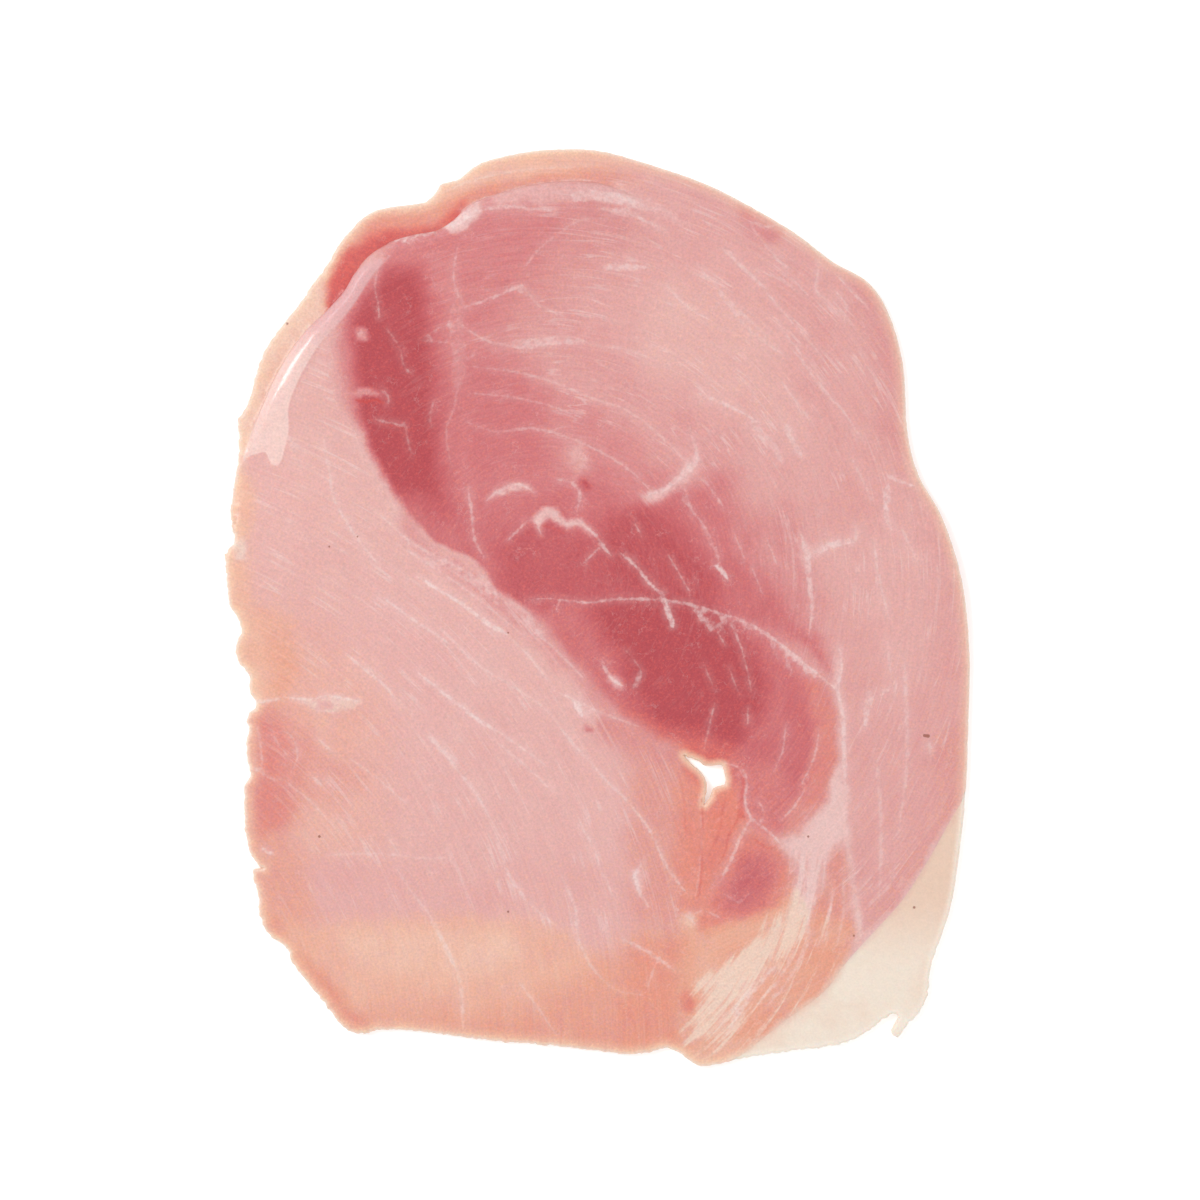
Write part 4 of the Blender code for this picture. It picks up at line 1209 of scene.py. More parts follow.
def solid_piece(name, faces):
    """A closed piece over these triangles of the sheet, with the fields as attributes."""
    used, faces = np.unique(faces, return_inverse=True)
    faces = faces.reshape(-1, 3)
    count = len(used)
    directed = np.concatenate([faces[:, [0, 1]], faces[:, [1, 2]], faces[:, [2, 0]]])
    known = set(map(tuple, directed))
    rim_edges = np.array([edge for edge in directed if (edge[1], edge[0]) not in known])
    outward = np.zeros((count, 2))
    flat = corners[used]
    for start, end in rim_edges:
        step = flat[end] - flat[start]
        away = np.array([step[1], -step[0]]) / max(math.hypot(*step), 1e-9)
        outward[start] += away
        outward[end] += away
    outward /= np.maximum(np.linalg.norm(outward, axis=1), 1e-9)[:, None]
    bulge = WALL_BULGE * ramp(fields["fat_line"][used], 0.2, 1.0)
    rings = [top[used]]
    for ring in range(1, WALL_RINGS + 1):
        share = ring / (WALL_RINGS + 1)
        place = (1 - share) * top[used] + share * under[used]
        place[:, :2] += outward * (bulge * math.sin(math.pi * share))[:, None]
        rings.append(place)
    rings.append(under[used])
    on_rim = np.unique(rim_edges)
    rank = np.full(count, -1)
    rank[on_rim] = np.arange(len(on_rim))
    places = [rings[0], rings[-1]] + [ring[on_rim] for ring in rings[1:-1]]
    source = np.concatenate([np.arange(count)] * 2 + [on_rim] * WALL_RINGS)

    def index(ring, vertex):
        if ring == 0:
            return vertex
        if ring == WALL_RINGS + 1:
            return count + vertex
        return 2 * count + (ring - 1) * len(on_rim) + rank[vertex]

    all_faces = [tuple(face) for face in faces] + [tuple(face[::-1] + count) for face in faces]
    for start, end in rim_edges:
        for ring in range(WALL_RINGS + 1):
            all_faces.append((
                index(ring, end), index(ring, start), index(ring + 1, start), index(ring + 1, end),
            ))
    mesh = bpy.data.meshes.new(name)
    mesh.from_pydata([tuple(place * MM) for place in np.vstack(places)], [], all_faces)
    mesh.shade_smooth()
    mesh.set_sharp_from_angle(angle=math.radians(72))
    for field, values in fields.items():
        attribute = mesh.attributes.new(field, "FLOAT", "POINT")
        attribute.data.foreach_set("value", values[used][source].astype(np.float32))
    for field, values in vectors.items():
        attribute = mesh.attributes.new(field, "FLOAT_VECTOR", "POINT")
        attribute.data.foreach_set("vector", values[used][source].astype(np.float32).ravel())
    piece = bpy.data.objects.new(name, mesh)
    bpy.context.scene.collection.objects.link(piece)
    return piece


ham_lean = solid_piece("ham_lean", triangles[~in_fat])
ham_fat = solid_piece("ham_fat", triangles[in_fat])
for piece in (ham_lean, ham_fat):
    piece.data.calc_loop_triangles()
    print(piece.name, "has", len(piece.data.loop_triangles), "triangles")

# %% [markdown]
# ## Colours
# Cooked, cured pork is pink because nitrite turns its myoglobin into a stable pigment.
# The more a muscle worked, the more myoglobin it holds, so the colour runs along one ramp
# from pale pink to deep rose. A second ramp holds the same depths painted peach: painted
# light, the glow of the light table through thin meat. The values are sRGB, as a colour
# picker shows them.

# %% Palette and node helper
PINK_RAMP = [
    (0.0, "#EABAB5"), (0.2, "#E4AAA8"), (0.4, "#DD9696"), (0.6, "#D57C80"), (0.8, "#CA6269"),
    (1.0, "#BB4A52"),
]
# painted light: the peach glow of the light table through thin meat
PEACH_GLOW_RAMP = [(0.0, "#F2C3AC"), (0.3, "#ECA88D"), (0.6, "#E98874"), (1.0, "#E0605A")]
CREAM_FAT = "#F0DBCA"
CAP_CREAM = "#F5E5D5"
CAP_WARM = "#EDCEB9"
MEMBRANE = "#EFCBC7"
WARM_FAT = "#EDD3BD"
# painted light: the peach glow of the light table through thin fat
PEACH_GLOW_FAT = "#F4D9C8"
RIBBON_LILAC = "#E6B2B3"
RIBBON_PALE = "#FAD6CE"
# painted light: the glow of the light table through the thin rim and the edge of the tear
THIN_EDGE_GLOW = "#FAD3B4"
# painted light: the glow right at the rim and the tear, on the fat and on the lean
FAT_RIM_GLOW = "#FDF0E2"
LEAN_RIM_GLOW = "#FADFCE"
SEAM_WHITE = "#F6E0DD"
SPECK_BROWN = "#9A5A44"
# painted shade: the deep red of the creases
CREASE_SHADE_RED = "#D64A42"


def linear(hex_colour):
    """An sRGB hex colour as linear RGBA."""
    channels = [int(hex_colour[i:i + 2], 16) / 255 for i in (1, 3, 5)]
    return [c / 12.92 if c <= 0.04045 else ((c + 0.055) / 1.055) ** 2.4 for c in channels] + [1]


def add_node(tree, kind, inputs=None, **settings):
    """A node with its settings, its input values and its links."""
    node = tree.nodes.new(kind)
    for name, value in settings.items():
        setattr(node, name, value)
    for socket, value in (inputs or {}).items():
        if isinstance(value, bpy.types.NodeSocket):
            tree.links.new(value, node.inputs[socket])
        else:
            node.inputs[socket].default_value = value
    return node


# %% [markdown]
# ## The finish of cooked ham
# The lean is a moist, slightly translucent protein gel with the grain of the fibres in
# it. Light enters a millimetre or so and comes back pink, which softens every edge, so
# the shader has subsurface scattering; the cut face carries a film of brine, so it also
# has a thin, fairly smooth coat. The colour is built in layers: the ramps of the muscle,
# then fat and ribbon, then seams, and a fine mottle over it all. The grain swings in wide
# arcs round a centre on each side of the main muscle edge, so the streaks are a noise that
# is read in polar coordinates round those centres and stretched along the arcs. The fat
# streaks beside the fat corner run in arcs round a third centre. A fine speckle of peach
# lies in the pink, as it does where fat has melted between the fibres.
#
# Everything is made with one helper that adds a node. A value is first a noise or one of
# the painted fields, then it is eased from one level to another by a Map Range node, and
# then it mixes a colour over the ones below it.

# %% The ham material
GRAIN_CENTRES = {"left": (-112, -88), "right": (-10, 5), "corner": (-20, -43)}
GRAIN_RADIUS = 60
GRAIN_STRETCH = 14


def ham_material(name, is_fat):
    """Cooked ham: muscle ramps under fat, ribbon and seams."""
    made = bpy.data.materials.new(name)
    made.use_nodes = True
    tree = made.node_tree
    tree.nodes.clear()
    place = add_node(tree, "ShaderNodeTexCoord").outputs["Object"]

    def grain_place(centre):
        """Places along and across the arcs round a centre, stretched along the arcs."""
        centred = add_node(tree, "ShaderNodeVectorMath", {
            0: place, 1: (centre[0] * MM, centre[1] * MM, 0),
        }, operation="SUBTRACT").outputs[0]
        parts = add_node(tree, "ShaderNodeSeparateXYZ", {0: centred}).outputs
        across = add_node(tree, "ShaderNodeVectorMath", {
            0: centred,
        }, operation="LENGTH").outputs["Value"]
        turn = add_node(tree, "ShaderNodeMath", {
            0: parts[1], 1: parts[0],
        }, operation="ARCTAN2").outputs[0]
        return add_node(tree, "ShaderNodeCombineXYZ", {
            0: across,
            1: add_node(tree, "ShaderNodeMath", {
                0: turn, 1: GRAIN_RADIUS * MM / GRAIN_STRETCH,
            }, operation="MULTIPLY").outputs[0],
        }).outputs[0]

    # noises from 8 mm down to 0.45 mm, and the one that frays every edge
    blotch = add_node(tree, "ShaderNodeTexNoise", {
        "Vector": place, "Scale": 1 / (8 * MM), "Detail": 3, "Roughness": 0.55,
    }).outputs["Fac"]
    mottle = add_node(tree, "ShaderNodeTexNoise", {
        "Vector": place, "Scale": 1 / (1.1 * MM), "Detail": 5, "Roughness": 0.7,
    }).outputs["Fac"]
    fine = add_node(tree, "ShaderNodeTexNoise", {
        "Vector": place, "Scale": 1 / (0.45 * MM), "Detail": 3, "Roughness": 0.65,
    }).outputs["Fac"]
    frayed = add_node(tree, "ShaderNodeMath", {
        0: add_node(tree, "ShaderNodeTexNoise", {
            "Vector": place, "Scale": 1 / (0.8 * MM), "Detail": 3, "Roughness": 0.55,
        }).outputs["Fac"],
        1: 0.8, 2: -0.4,
    }, operation="MULTIPLY_ADD").outputs[0]
    edge = add_node(tree, "ShaderNodeMapRange", {
        "Value": add_node(tree, "ShaderNodeMath", {
            0: add_node(tree, "ShaderNodeAttribute", attribute_name="edge").outputs["Fac"],
            1: frayed,
        }, operation="ADD").outputs[0],
        "From Min": -1, "From Max": 1,
    }, interpolation_type="SMOOTHSTEP").outputs[0]

    # the painted colours of both sides, parted along the main muscle edge
    both = add_node(tree, "ShaderNodeMix", {
        0: edge,
        4: add_node(tree, "ShaderNodeAttribute", attribute_name="left").outputs["Vector"],
        5: add_node(tree, "ShaderNodeAttribute", attribute_name="right").outputs["Vector"],
    }, data_type="VECTOR").outputs[1]
    depth, warmth, fat = add_node(tree, "ShaderNodeSeparateXYZ", {0: both}).outputs

    # fibres and hair-thin splits along the arcs, and a faint web
    left_grain = grain_place(GRAIN_CENTRES["left"])
    right_grain = grain_place(GRAIN_CENTRES["right"])
    grain = add_node(tree, "ShaderNodeMix", {
        0: edge, 4: left_grain, 5: right_grain,
    }, data_type="VECTOR").outputs[1]
    fibres = add_node(tree, "ShaderNodeTexNoise", {
        "Vector": grain, "Scale": 1 / (0.5 * MM), "Detail": 4, "Roughness": 0.6,
    }).outputs["Fac"]
    hairline = add_node(tree, "ShaderNodeMath", {
        0: add_node(tree, "ShaderNodeMath", {
            0: add_node(tree, "ShaderNodeTexNoise", {
                "Vector": grain, "Scale": 1 / (3 * MM), "Detail": 3, "Roughness": 0.55,
            }).outputs["Fac"],
            1: 0.5,
        }, operation="SUBTRACT").outputs[0],
    }, operation="ABSOLUTE").outputs[0]
    hairline = add_node(tree, "ShaderNodeMapRange", {
        "Value": hairline, "From Min": 0.002, "From Max": 0.022, "To Min": 1.0, "To Max": 0.0,
    }, interpolation_type="SMOOTHSTEP").outputs[0]
    hairline = add_node(tree, "ShaderNodeMath", {
        0: hairline,
        1: add_node(tree, "ShaderNodeMapRange", {
            "Value": add_node(tree, "ShaderNodeTexNoise", {
                "Vector": place, "Scale": 1 / (6 * MM), "Detail": 2, "Roughness": 0.55,
            }).outputs["Fac"],
            "From Min": 0.43, "From Max": 0.65, "To Min": 0.03, "To Max": 0.3,
        }, interpolation_type="SMOOTHSTEP").outputs[0],
    }, operation="MULTIPLY").outputs[0]
    hairline = add_node(tree, "ShaderNodeMath", {
        0: hairline,
        1: add_node(tree, "ShaderNodeMapRange", {
            "Value": depth, "From Min": 0.3, "From Max": 0.7, "To Min": 1.0, "To Max": 0.15,
        }, interpolation_type="SMOOTHSTEP").outputs[0],
    }, operation="MULTIPLY").outputs[0]
    hairline = add_node(tree, "ShaderNodeMath", {
        0: hairline,
        1: add_node(tree, "ShaderNodeMapRange", {
            "Value": warmth, "From Min": 0.3, "From Max": 0.8, "To Min": 1.0, "To Max": 0.25,
        }, interpolation_type="SMOOTHSTEP").outputs[0],
    }, operation="MULTIPLY").outputs[0]
    web = add_node(tree, "ShaderNodeMath", {
        0: add_node(tree, "ShaderNodeMath", {
            0: add_node(tree, "ShaderNodeTexNoise", {
                "Vector": place, "Scale": 1 / (2.6 * MM), "Detail": 4, "Roughness": 0.55,
            }).outputs["Fac"],
            1: 0.5,
        }, operation="SUBTRACT").outputs[0],
    }, operation="ABSOLUTE").outputs[0]
    web = add_node(tree, "ShaderNodeMapRange", {
        "Value": web, "From Min": 0.0, "From Max": 0.02, "To Min": 1.0, "To Max": 0.0,
    }, interpolation_type="SMOOTHSTEP").outputs[0]
    web = add_node(tree, "ShaderNodeMath", {
        0: web,
        1: add_node(tree, "ShaderNodeMapRange", {
            "Value": add_node(tree, "ShaderNodeTexNoise", {
                "Vector": place, "Scale": 1 / (3.1 * MM), "Detail": 2, "Roughness": 0.55,
            }).outputs["Fac"],
            "From Min": 0.5, "From Max": 0.66, "To Max": 0.16,
        }, interpolation_type="SMOOTHSTEP").outputs[0],
    }, operation="MULTIPLY").outputs[0]

    # the tones of the muscle: how deep the pink is, and how peachy, the peach being painted glow of
    # the light table through the meat
    muscle, peachy = depth, warmth
    depth = add_node(tree, "ShaderNodeMath", {
        0: depth,
        1: add_node(tree, "ShaderNodeMath", {
            0: blotch, 1: 0.2, 2: -0.1,
        }, operation="MULTIPLY_ADD").outputs[0],
    }, operation="ADD").outputs[0]
    depth = add_node(tree, "ShaderNodeMath", {
        0: depth,
        1: add_node(tree, "ShaderNodeMath", {
            0: fibres, 1: 0.3, 2: -0.15,
        }, operation="MULTIPLY_ADD").outputs[0],
    }, operation="ADD").outputs[0]
    depth = add_node(tree, "ShaderNodeMath", {
        0: depth,
        1: add_node(tree, "ShaderNodeMath", {
            0: mottle, 1: 0.16, 2: -0.08,
        }, operation="MULTIPLY_ADD").outputs[0],
    }, operation="ADD").outputs[0]
    warmth = add_node(tree, "ShaderNodeMath", {
        0: warmth,
        1: add_node(tree, "ShaderNodeMapRange", {
            "Value": add_node(tree, "ShaderNodeTexNoise", {
                "Vector": place, "Scale": 1 / (3.5 * MM), "Detail": 3, "Roughness": 0.55,
            }).outputs["Fac"],
            "From Min": 0.3, "From Max": 0.6, "To Min": 0.7,
        }, interpolation_type="SMOOTHSTEP").outputs[0],
    }, operation="MULTIPLY").outputs[0]
    speckle = add_node(tree, "ShaderNodeMapRange", {
        "Value": add_node(tree, "ShaderNodeTexNoise", {
            "Vector": place, "Scale": 1 / (0.5 * MM), "Detail": 3, "Roughness": 0.7,
        }).outputs["Fac"],
        "From Min": 0.44, "From Max": 0.64, "To Min": -0.14, "To Max": 0.36,
    }, interpolation_type="SMOOTHSTEP").outputs[0]
    warmth = add_node(tree, "ShaderNodeMath", {
        0: warmth, 1: speckle,
    }, operation="ADD", use_clamp=True).outputs[0]

    tones = []
    for stops in (PINK_RAMP, PEACH_GLOW_RAMP):
        tone = add_node(tree, "ShaderNodeValToRGB", {"Fac": depth})
        elements = tone.color_ramp.elements
        elements[0].color = linear(stops[0][1])
        elements[1].color = linear(stops[-1][1])
        for position, hex_colour in stops[1:-1]:
            elements.new(position).color = linear(hex_colour)
        tones.append(tone.outputs["Color"])
    colour = add_node(tree, "ShaderNodeMix", {
        0: warmth, 6: tones[0], 7: tones[1],
    }, data_type="RGBA").outputs[2]

    # painted light: the glow of the light table through the thin meat at the rim and the edge of
    # the tear
    thin_glow = add_node(tree, "ShaderNodeMath", {
        0: add_node(tree, "ShaderNodeMapRange", {
            "Value": add_node(tree, "ShaderNodeAttribute", attribute_name="rim").outputs["Fac"],
            "From Min": 0.2, "From Max": 2.4, "To Min": 0.8, "To Max": 0.0,
        }, interpolation_type="SMOOTHSTEP").outputs[0],
        1: warmth,
    }, operation="MULTIPLY").outputs[0]
    thin_glow = add_node(tree, "ShaderNodeMath", {
        0: thin_glow,
        1: add_node(tree, "ShaderNodeMapRange", {
            "Value": add_node(tree, "ShaderNodeAttribute", attribute_name="rim").outputs["Fac"],
            "From Min": 0.1, "From Max": 2.8, "To Min": 0.42, "To Max": 0.0,
        }, interpolation_type="SMOOTHSTEP").outputs[0],
    }, operation="MAXIMUM").outputs[0]
    thin_glow = add_node(tree, "ShaderNodeMath", {
        0: thin_glow,
        1: add_node(tree, "ShaderNodeMapRange", {
            "Value": add_node(tree, "ShaderNodeAttribute", attribute_name="tear").outputs["Fac"],
            "From Min": 0.1, "From Max": 1.7, "To Min": 0.75, "To Max": 0.0,
        }, interpolation_type="SMOOTHSTEP").outputs[0],
    }, operation="MAXIMUM").outputs[0]
    colour = add_node(tree, "ShaderNodeMix", {
        0: thin_glow, 6: colour, 7: linear(THIN_EDGE_GLOW),
    }, data_type="RGBA").outputs[2]
    if is_fat:
        fat = add_node(tree, "ShaderNodeMapRange", {
            "Value": add_node(tree, "ShaderNodeMath", {
                0: add_node(
                    tree, "ShaderNodeAttribute", attribute_name="fat_line",
                ).outputs["Fac"],
                1: frayed,
            }, operation="ADD").outputs[0],
            "From Min": -0.3, "From Max": 1.2, "To Min": 0.65,
        }, interpolation_type="SMOOTHSTEP").outputs[0]
    else:
        near_line = add_node(tree, "ShaderNodeMapRange", {
            "Value": add_node(tree, "ShaderNodeMath", {
                0: add_node(
                    tree, "ShaderNodeAttribute", attribute_name="fat_line",
                ).outputs["Fac"],
                1: frayed,
            }, operation="ADD").outputs[0],
            "From Min": -0.1, "From Max": 1.5, "To Min": 0.65, "To Max": 0.0,
        }, interpolation_type="SMOOTHSTEP").outputs[0]
        streaks = add_node(tree, "ShaderNodeTexNoise", {
            "Vector": grain_place(GRAIN_CENTRES["corner"]), "Scale": 1 / (1.3 * MM), "Detail": 3,
            "Roughness": 0.6,
        }).outputs["Fac"]
        streaks = add_node(tree, "ShaderNodeMath", {
            0: add_node(tree, "ShaderNodeMath", {
                0: streaks, 1: 0.48,
            }, operation="SUBTRACT").outputs[0],
            1: add_node(tree, "ShaderNodeAttribute", attribute_name="streaky").outputs["Fac"],
        }, operation="MULTIPLY").outputs[0]
        fat = add_node(tree, "ShaderNodeMath", {
            0: streaks, 1: 2.6, 2: fat,
        }, operation="MULTIPLY_ADD").outputs[0]
        torn = add_node(tree, "ShaderNodeMath", {
            0: add_node(tree, "ShaderNodeMath", {
                0: mottle, 1: 0.5,
            }, operation="SUBTRACT").outputs[0],
            1: 0.9, 2: fat,
        }, operation="MULTIPLY_ADD").outputs[0]
        torn = add_node(tree, "ShaderNodeMapRange", {
            "Value": torn, "From Min": 0.05, "From Max": 0.5,
        }, interpolation_type="SMOOTHSTEP").outputs[0]
        fat = add_node(tree, "ShaderNodeMath", {
            0: torn,
            1: add_node(tree, "ShaderNodeMapRange", {
                "Value": fat, "From Min": 0.0, "From Max": 0.7, "To Min": 0.25, "To Max": 0.85,
            }, interpolation_type="SMOOTHSTEP").outputs[0],
        }, operation="MULTIPLY").outputs[0]
        fat = add_node(tree, "ShaderNodeMath", {
            0: fat, 1: near_line,
        }, operation="MAXIMUM").outputs[0]
        fat = add_node(tree, "ShaderNodeMath", {
            0: fat,
            1: add_node(tree, "ShaderNodeMapRange", {
                "Value": fibres, "From Min": 0.3, "From Max": 0.6, "To Min": 0.7,
            }, interpolation_type="SMOOTHSTEP").outputs[0],
        }, operation="MULTIPLY").outputs[0]

    # the colour of the fat
    northing = add_node(tree, "ShaderNodeSeparateXYZ", {0: place}).outputs[1]
    if is_fat:
        warmer = add_node(tree, "ShaderNodeMath", {
            0: add_node(tree, "ShaderNodeMapRange", {
                "Value": blotch, "From Min": 0.42, "From Max": 0.68,
            }, interpolation_type="SMOOTHSTEP").outputs[0],
            1: 0.3,
        }, operation="MULTIPLY").outputs[0]
        warmer = add_node(tree, "ShaderNodeMath", {
            0: warmer,
            1: add_node(tree, "ShaderNodeMapRange", {
                "Value": northing, "From Min": -74 * MM, "From Max": -56 * MM,
            }, interpolation_type="SMOOTHSTEP").outputs[0],
        }, operation="MAXIMUM").outputs[0]
        fat_colour = add_node(tree, "ShaderNodeMix", {
            0: warmer, 6: linear(CAP_CREAM), 7: linear(CAP_WARM),
        }, data_type="RGBA").outputs[2]
    else:
        fat_colour = add_node(tree, "ShaderNodeMix", {
            0: add_node(tree, "ShaderNodeMapRange", {
                "Value": blotch, "From Min": 0.42, "From Max": 0.68,
            }, interpolation_type="SMOOTHSTEP").outputs[0],
            6: linear(CREAM_FAT), 7: linear(WARM_FAT),
        }, data_type="RGBA").outputs[2]
    # painted light: the fat of the streaky corner turns peach where the painted glow lies on it
    fat_colour = add_node(tree, "ShaderNodeMix", {
        0: add_node(tree, "ShaderNodeMath", {
            0: peachy,
            1: add_node(tree, "ShaderNodeAttribute", attribute_name="streaky").outputs["Fac"],
        }, operation="MULTIPLY").outputs[0],
        6: fat_colour, 7: linear(PEACH_GLOW_FAT),
    }, data_type="RGBA").outputs[2]
    if not is_fat:
        rosy = add_node(tree, "ShaderNodeMapRange", {
            "Value": add_node(tree, "ShaderNodeMath", {
                0: peachy, 1: -0.3, 2: muscle,
            }, operation="MULTIPLY_ADD").outputs[0],
            "From Min": 0.04, "From Max": 0.16,
        }, interpolation_type="SMOOTHSTEP").outputs[0]
        fat_colour = add_node(tree, "ShaderNodeMix", {
            0: rosy, 6: fat_colour, 7: linear(MEMBRANE),
        }, data_type="RGBA").outputs[2]
    colour = add_node(tree, "ShaderNodeMix", {
        0: fat, 6: colour, 7: fat_colour,
    }, data_type="RGBA").outputs[2]
    hairline = add_node(tree, "ShaderNodeMath", {
        0: hairline,
        1: add_node(tree, "ShaderNodeMath", {0: 1.0, 1: fat}, operation="SUBTRACT").outputs[0],
    }, operation="MULTIPLY").outputs[0]
    colour = add_node(tree, "ShaderNodeMix", {
        0: add_node(tree, "ShaderNodeMath", {
            0: hairline, 1: web,
        }, operation="MAXIMUM").outputs[0],
        6: colour, 7: linear(SEAM_WHITE),
    }, data_type="RGBA").outputs[2]

    # painted shade in deep red along the creases and under a flap
    crease_shade = add_node(tree, "ShaderNodeMapRange", {
        "Value": add_node(tree, "ShaderNodeMath", {
            0: add_node(tree, "ShaderNodeAttribute", attribute_name="crease_shade").outputs["Fac"],
            1: frayed,
        }, operation="ADD").outputs[0],
        "From Min": -0.3, "From Max": 0.3,
    }, interpolation_type="SMOOTHSTEP").outputs[0]
    crease_shade = add_node(tree, "ShaderNodeMath", {
        0: crease_shade,
        1: add_node(tree, "ShaderNodeAttribute", attribute_name="crease_shade_strength").outputs["Fac"],
    }, operation="MULTIPLY").outputs[0]
    colour = add_node(tree, "ShaderNodeMix", {
        0: crease_shade, 6: colour, 7: linear(CREASE_SHADE_RED),
    }, data_type="RGBA").outputs[2]

    # white seams, a crisp core in a faint glow
    seam_core = add_node(tree, "ShaderNodeMapRange", {
        "Value": add_node(tree, "ShaderNodeMath", {
            0: add_node(tree, "ShaderNodeAttribute", attribute_name="seam").outputs["Fac"],
            1: frayed,
        }, operation="ADD").outputs[0],
        "From Min": -0.2, "From Max": 0.25, "To Max": 0.75,
    }, interpolation_type="SMOOTHSTEP").outputs[0]
    seam_glow = add_node(tree, "ShaderNodeMapRange", {
        "Value": add_node(tree, "ShaderNodeAttribute", attribute_name="seam").outputs["Fac"],
        "From Min": -1.6, "From Max": 0.3, "To Max": 0.25,
    }, interpolation_type="SMOOTHSTEP").outputs[0]
    seam = add_node(tree, "ShaderNodeMath", {
        0: add_node(tree, "ShaderNodeMath", {
            0: seam_core, 1: seam_glow,
        }, operation="ADD").outputs[0],
        1: add_node(tree, "ShaderNodeAttribute", attribute_name="seam_strength").outputs["Fac"],
    }, operation="MULTIPLY").outputs[0]
    seam = add_node(tree, "ShaderNodeMath", {
        0: seam,
        1: add_node(tree, "ShaderNodeMapRange", {
            "Value": add_node(tree, "ShaderNodeTexNoise", {
                "Vector": place, "Scale": 1 / (1.3 * MM), "Detail": 3, "Roughness": 0.55,
            }).outputs["Fac"],
            "From Min": 0.35, "From Max": 0.62, "To Min": 0.35,
        }, interpolation_type="SMOOTHSTEP").outputs[0],
    }, operation="MULTIPLY").outputs[0]
    seam = add_node(tree, "ShaderNodeMath", {
        0: seam,
        1: add_node(tree, "ShaderNodeMapRange", {
            "Value": depth, "From Min": 0.3, "From Max": 0.8, "To Min": 1.0, "To Max": 0.75,
        }, interpolation_type="SMOOTHSTEP").outputs[0],
    }, operation="MULTIPLY").outputs[0]
    colour = add_node(tree, "ShaderNodeMix", {
        0: seam, 6: colour, 7: linear(SEAM_WHITE),
    }, data_type="RGBA").outputs[2]

    # the ribbon of fat on the lip
    ribbon_cover = add_node(tree, "ShaderNodeMapRange", {
        "Value": add_node(tree, "ShaderNodeMath", {
            0: add_node(tree, "ShaderNodeAttribute", attribute_name="ribbon").outputs["Fac"],
            1: add_node(tree, "ShaderNodeMath", {
                0: frayed, 1: 0.4,
            }, operation="MULTIPLY").outputs[0],
        }, operation="ADD").outputs[0],
        "From Min": -0.25, "From Max": 0.3,
    }, interpolation_type="SMOOTHSTEP").outputs[0]
    upper = add_node(tree, "ShaderNodeMapRange", {
        "Value": northing, "From Min": 48 * MM, "From Max": 60 * MM,
    }, interpolation_type="SMOOTHSTEP").outputs[0]
    ribbon_colour = add_node(tree, "ShaderNodeMix", {
        0: upper, 6: linear(RIBBON_PALE), 7: linear(RIBBON_LILAC),
    }, data_type="RGBA").outputs[2]
    colour = add_node(tree, "ShaderNodeMix", {
        0: add_node(tree, "ShaderNodeMath", {
            0: ribbon_cover, 1: 0.88,
        }, operation="MULTIPLY").outputs[0],
        6: colour, 7: ribbon_colour,
    }, data_type="RGBA").outputs[2]

    # the painted glow right at the rim and round the tear, the brown specks and the fine mottle
    # over it all
    bright = add_node(tree, "ShaderNodeMapRange", {
        "Value": add_node(tree, "ShaderNodeAttribute", attribute_name="rim").outputs["Fac"],
        "From Min": 0.0, "From Max": 1.6 if is_fat else 0.9, "To Min": 0.8, "To Max": 0.0,
    }, interpolation_type="SMOOTHSTEP").outputs[0]
    bright = add_node(tree, "ShaderNodeMath", {
        0: bright,
        1: add_node(tree, "ShaderNodeMapRange", {
            "Value": add_node(tree, "ShaderNodeAttribute", attribute_name="tear").outputs["Fac"],
            "From Min": 0.0, "From Max": 0.5, "To Min": 0.7, "To Max": 0.0,
        }, interpolation_type="SMOOTHSTEP").outputs[0],
    }, operation="MAXIMUM").outputs[0]
    colour = add_node(tree, "ShaderNodeMix", {
        0: bright, 6: colour, 7: linear(FAT_RIM_GLOW if is_fat else LEAN_RIM_GLOW),
    }, data_type="RGBA").outputs[2]
    colour = add_node(tree, "ShaderNodeMix", {
        0: add_node(tree, "ShaderNodeMapRange", {
            "Value": add_node(tree, "ShaderNodeAttribute", attribute_name="speck").outputs["Fac"],
            "From Min": -0.1, "From Max": 0.1, "To Max": 0.8,
        }, interpolation_type="SMOOTHSTEP").outputs[0],
        6: colour, 7: linear(SPECK_BROWN),
    }, data_type="RGBA").outputs[2]
    coarse_grain, fine_grain = (0.14, 0.2) if is_fat else (0.2, 0.44)
    shade = add_node(tree, "ShaderNodeMath", {
        0: mottle, 1: coarse_grain, 2: 1 - (coarse_grain + fine_grain) / 2,
    }, operation="MULTIPLY_ADD").outputs[0]
    shade = add_node(tree, "ShaderNodeMath", {
        0: fine, 1: fine_grain, 2: shade,
    }, operation="MULTIPLY_ADD").outputs[0]
    colour = add_node(tree, "ShaderNodeMix", {
        0: 1.0, 6: colour, 7: shade,
    }, data_type="RGBA", blend_type="MULTIPLY").outputs[2]

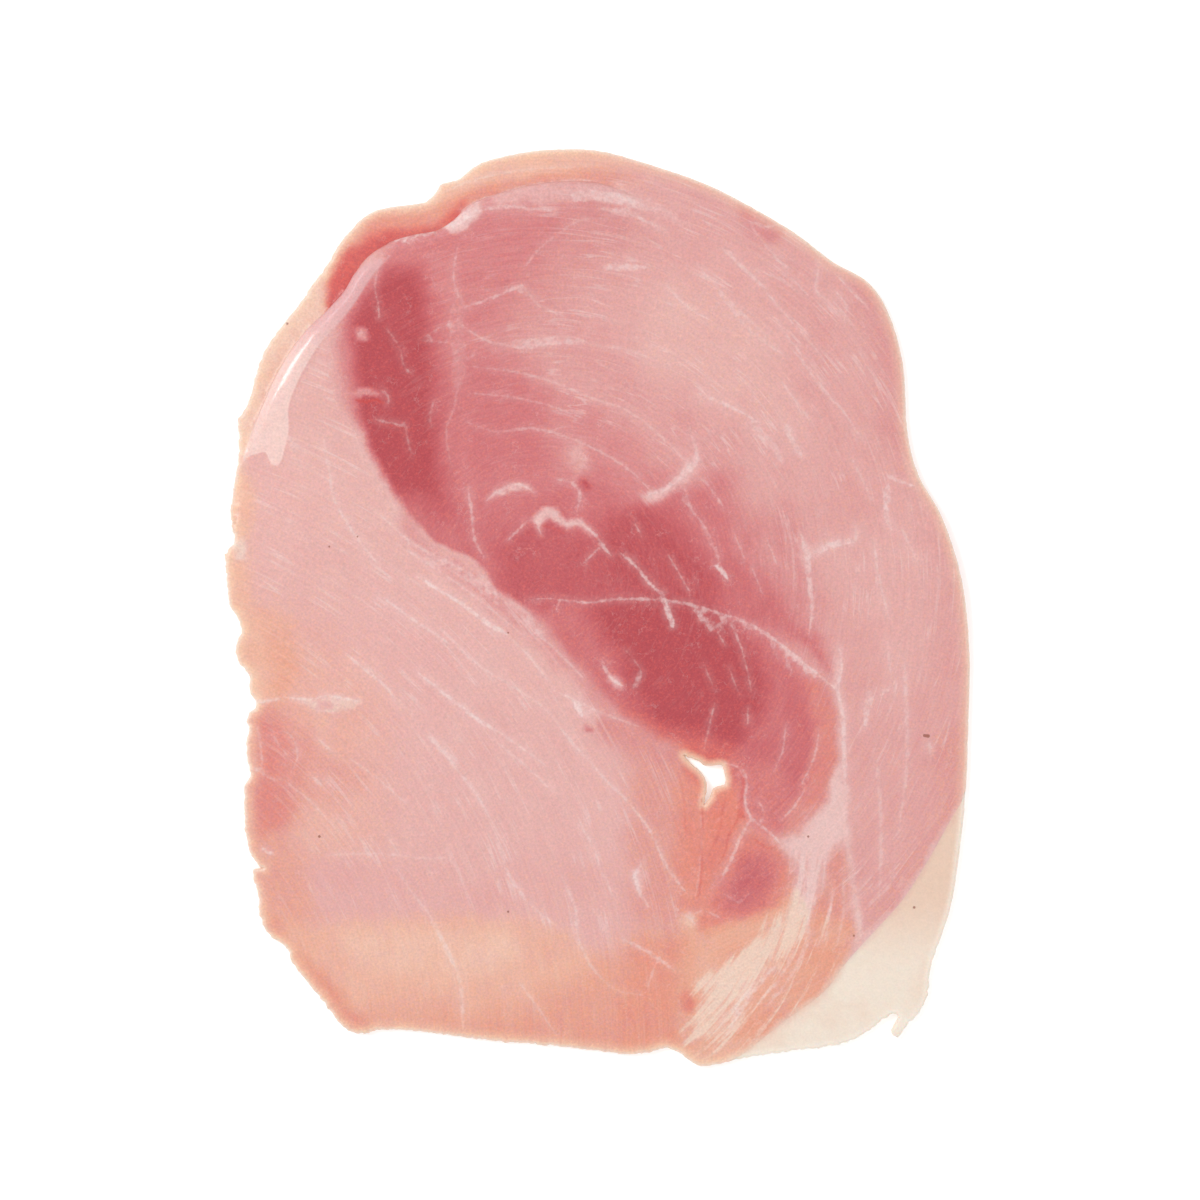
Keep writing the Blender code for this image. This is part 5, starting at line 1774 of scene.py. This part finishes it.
    # the wet surface
    height = add_node(tree, "ShaderNodeMath", {
        0: fibres, 1: 0.6,
        2: add_node(tree, "ShaderNodeMath", {
            0: fine, 1: 0.4, 2: mottle,
        }, operation="MULTIPLY_ADD").outputs[0],
    }, operation="MULTIPLY_ADD").outputs[0]
    bump = add_node(tree, "ShaderNodeBump", {
        "Height": height, "Distance": 0.06 * MM, "Strength": 0.6,
    })
    shader = add_node(tree, "ShaderNodeBsdfPrincipled", {
        "Base Color": colour,
        "Roughness": add_node(tree, "ShaderNodeMath", {
            0: add_node(tree, "ShaderNodeMapRange", {
                "Value": mottle, "From Min": 0.3, "From Max": 0.7, "To Min": 0.36, "To Max": 0.52,
            }, interpolation_type="SMOOTHSTEP").outputs[0],
            1: add_node(tree, "ShaderNodeMath", {
                0: add_node(tree, "ShaderNodeMapRange", {
                    "Value": add_node(
                        tree, "ShaderNodeAttribute", attribute_name="ribbon",
                    ).outputs["Fac"],
                    "From Min": 0.0, "From Max": 0.5, "To Min": 1.0, "To Max": 0.4,
                }, interpolation_type="SMOOTHSTEP").outputs[0],
                1: upper,
            }, operation="MAXIMUM").outputs[0],
        }, operation="MULTIPLY").outputs[0],
        "IOR": 1.42, "Subsurface Weight": 0.25, "Subsurface Radius": (1.0, 0.45, 0.3),
        "Subsurface Scale": 0.6 * MM, "Coat Weight": 0.3, "Coat Roughness": 0.14,
        "Coat IOR": 1.33, "Normal": bump.outputs["Normal"],
    })
    add_node(tree, "ShaderNodeOutputMaterial", {"Surface": shader.outputs[0]})
    return made


ham_lean.data.materials.append(ham_material("cooked ham muscle", is_fat=False))
ham_fat.data.materials.append(ham_material("cooked pork fat", is_fat=True))

# %% [markdown]
# ## Floor, light and camera
# The slice lies on a plain white light table under broad, soft light, and is seen from
# straight above. The table glows a little, which keeps the shadow round the thin slice
# as faint as it is on white paper.

# %% Stage
FRAME_WIDTH = 240.0
FRAME_CENTRE = (0.45, 1.55)
LENS = 100.0
SENSOR = 36.0

floor_mesh = bpy.data.meshes.new("floor")
floor_corners = [(-3, -3, -0.0002), (3, -3, -0.0002), (3, 3, -0.0002), (-3, 3, -0.0002)]
floor_mesh.from_pydata(floor_corners, [], [(0, 1, 2, 3)])
floor = bpy.data.objects.new("floor", floor_mesh)
bpy.context.scene.collection.objects.link(floor)
floor_finish = bpy.data.materials.new("white light table")
floor_finish.use_nodes = True
floor_shader = floor_finish.node_tree.nodes["Principled BSDF"]
floor_shader.inputs["Base Color"].default_value = (0.9, 0.9, 0.9, 1)
floor_shader.inputs["Roughness"].default_value = 0.9
floor_shader.inputs["Specular IOR Level"].default_value = 0.1
floor_shader.inputs["Emission Color"].default_value = (1, 1, 1, 1)
floor_shader.inputs["Emission Strength"].default_value = 0.3
floor_mesh.materials.append(floor_finish)

world = bpy.data.worlds.new("soft room")
world.use_nodes = True
world.node_tree.nodes["Background"].inputs["Color"].default_value = (1, 1, 1, 1)
world.node_tree.nodes["Background"].inputs["Strength"].default_value = 0.62
bpy.context.scene.world = world


def soft_light(name, place, size, power):
    """A square area light that looks at the slice."""
    lamp = bpy.data.lights.new(name, "AREA")
    lamp.size = size
    lamp.energy = power
    light = bpy.data.objects.new(name, lamp)
    light.location = place
    light.rotation_euler = Vector(place).to_track_quat("Z", "Y").to_euler()
    bpy.context.scene.collection.objects.link(light)


soft_light("key", (-0.6, 0.38, 0.9), 0.34, 4.6)
soft_light("fill", (0.6, -0.4, 1.0), 1.0, 2.4)

camera_data = bpy.data.cameras.new("camera")
camera_data.lens = LENS
camera_data.sensor_width = SENSOR
camera = bpy.data.objects.new("camera", camera_data)
camera.location = (FRAME_CENTRE[0] * MM, FRAME_CENTRE[1] * MM, FRAME_WIDTH * MM * LENS / SENSOR)
bpy.context.scene.collection.objects.link(camera)
bpy.context.scene.camera = camera
bpy.context.scene.view_settings.view_transform = "Standard"

# %% Hand the pieces over
for piece, node, slot in ((ham_lean, "lean_meat", "lean"), (ham_fat, "fat_cap", "fat")):
    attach(piece, "root")
    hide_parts(node)
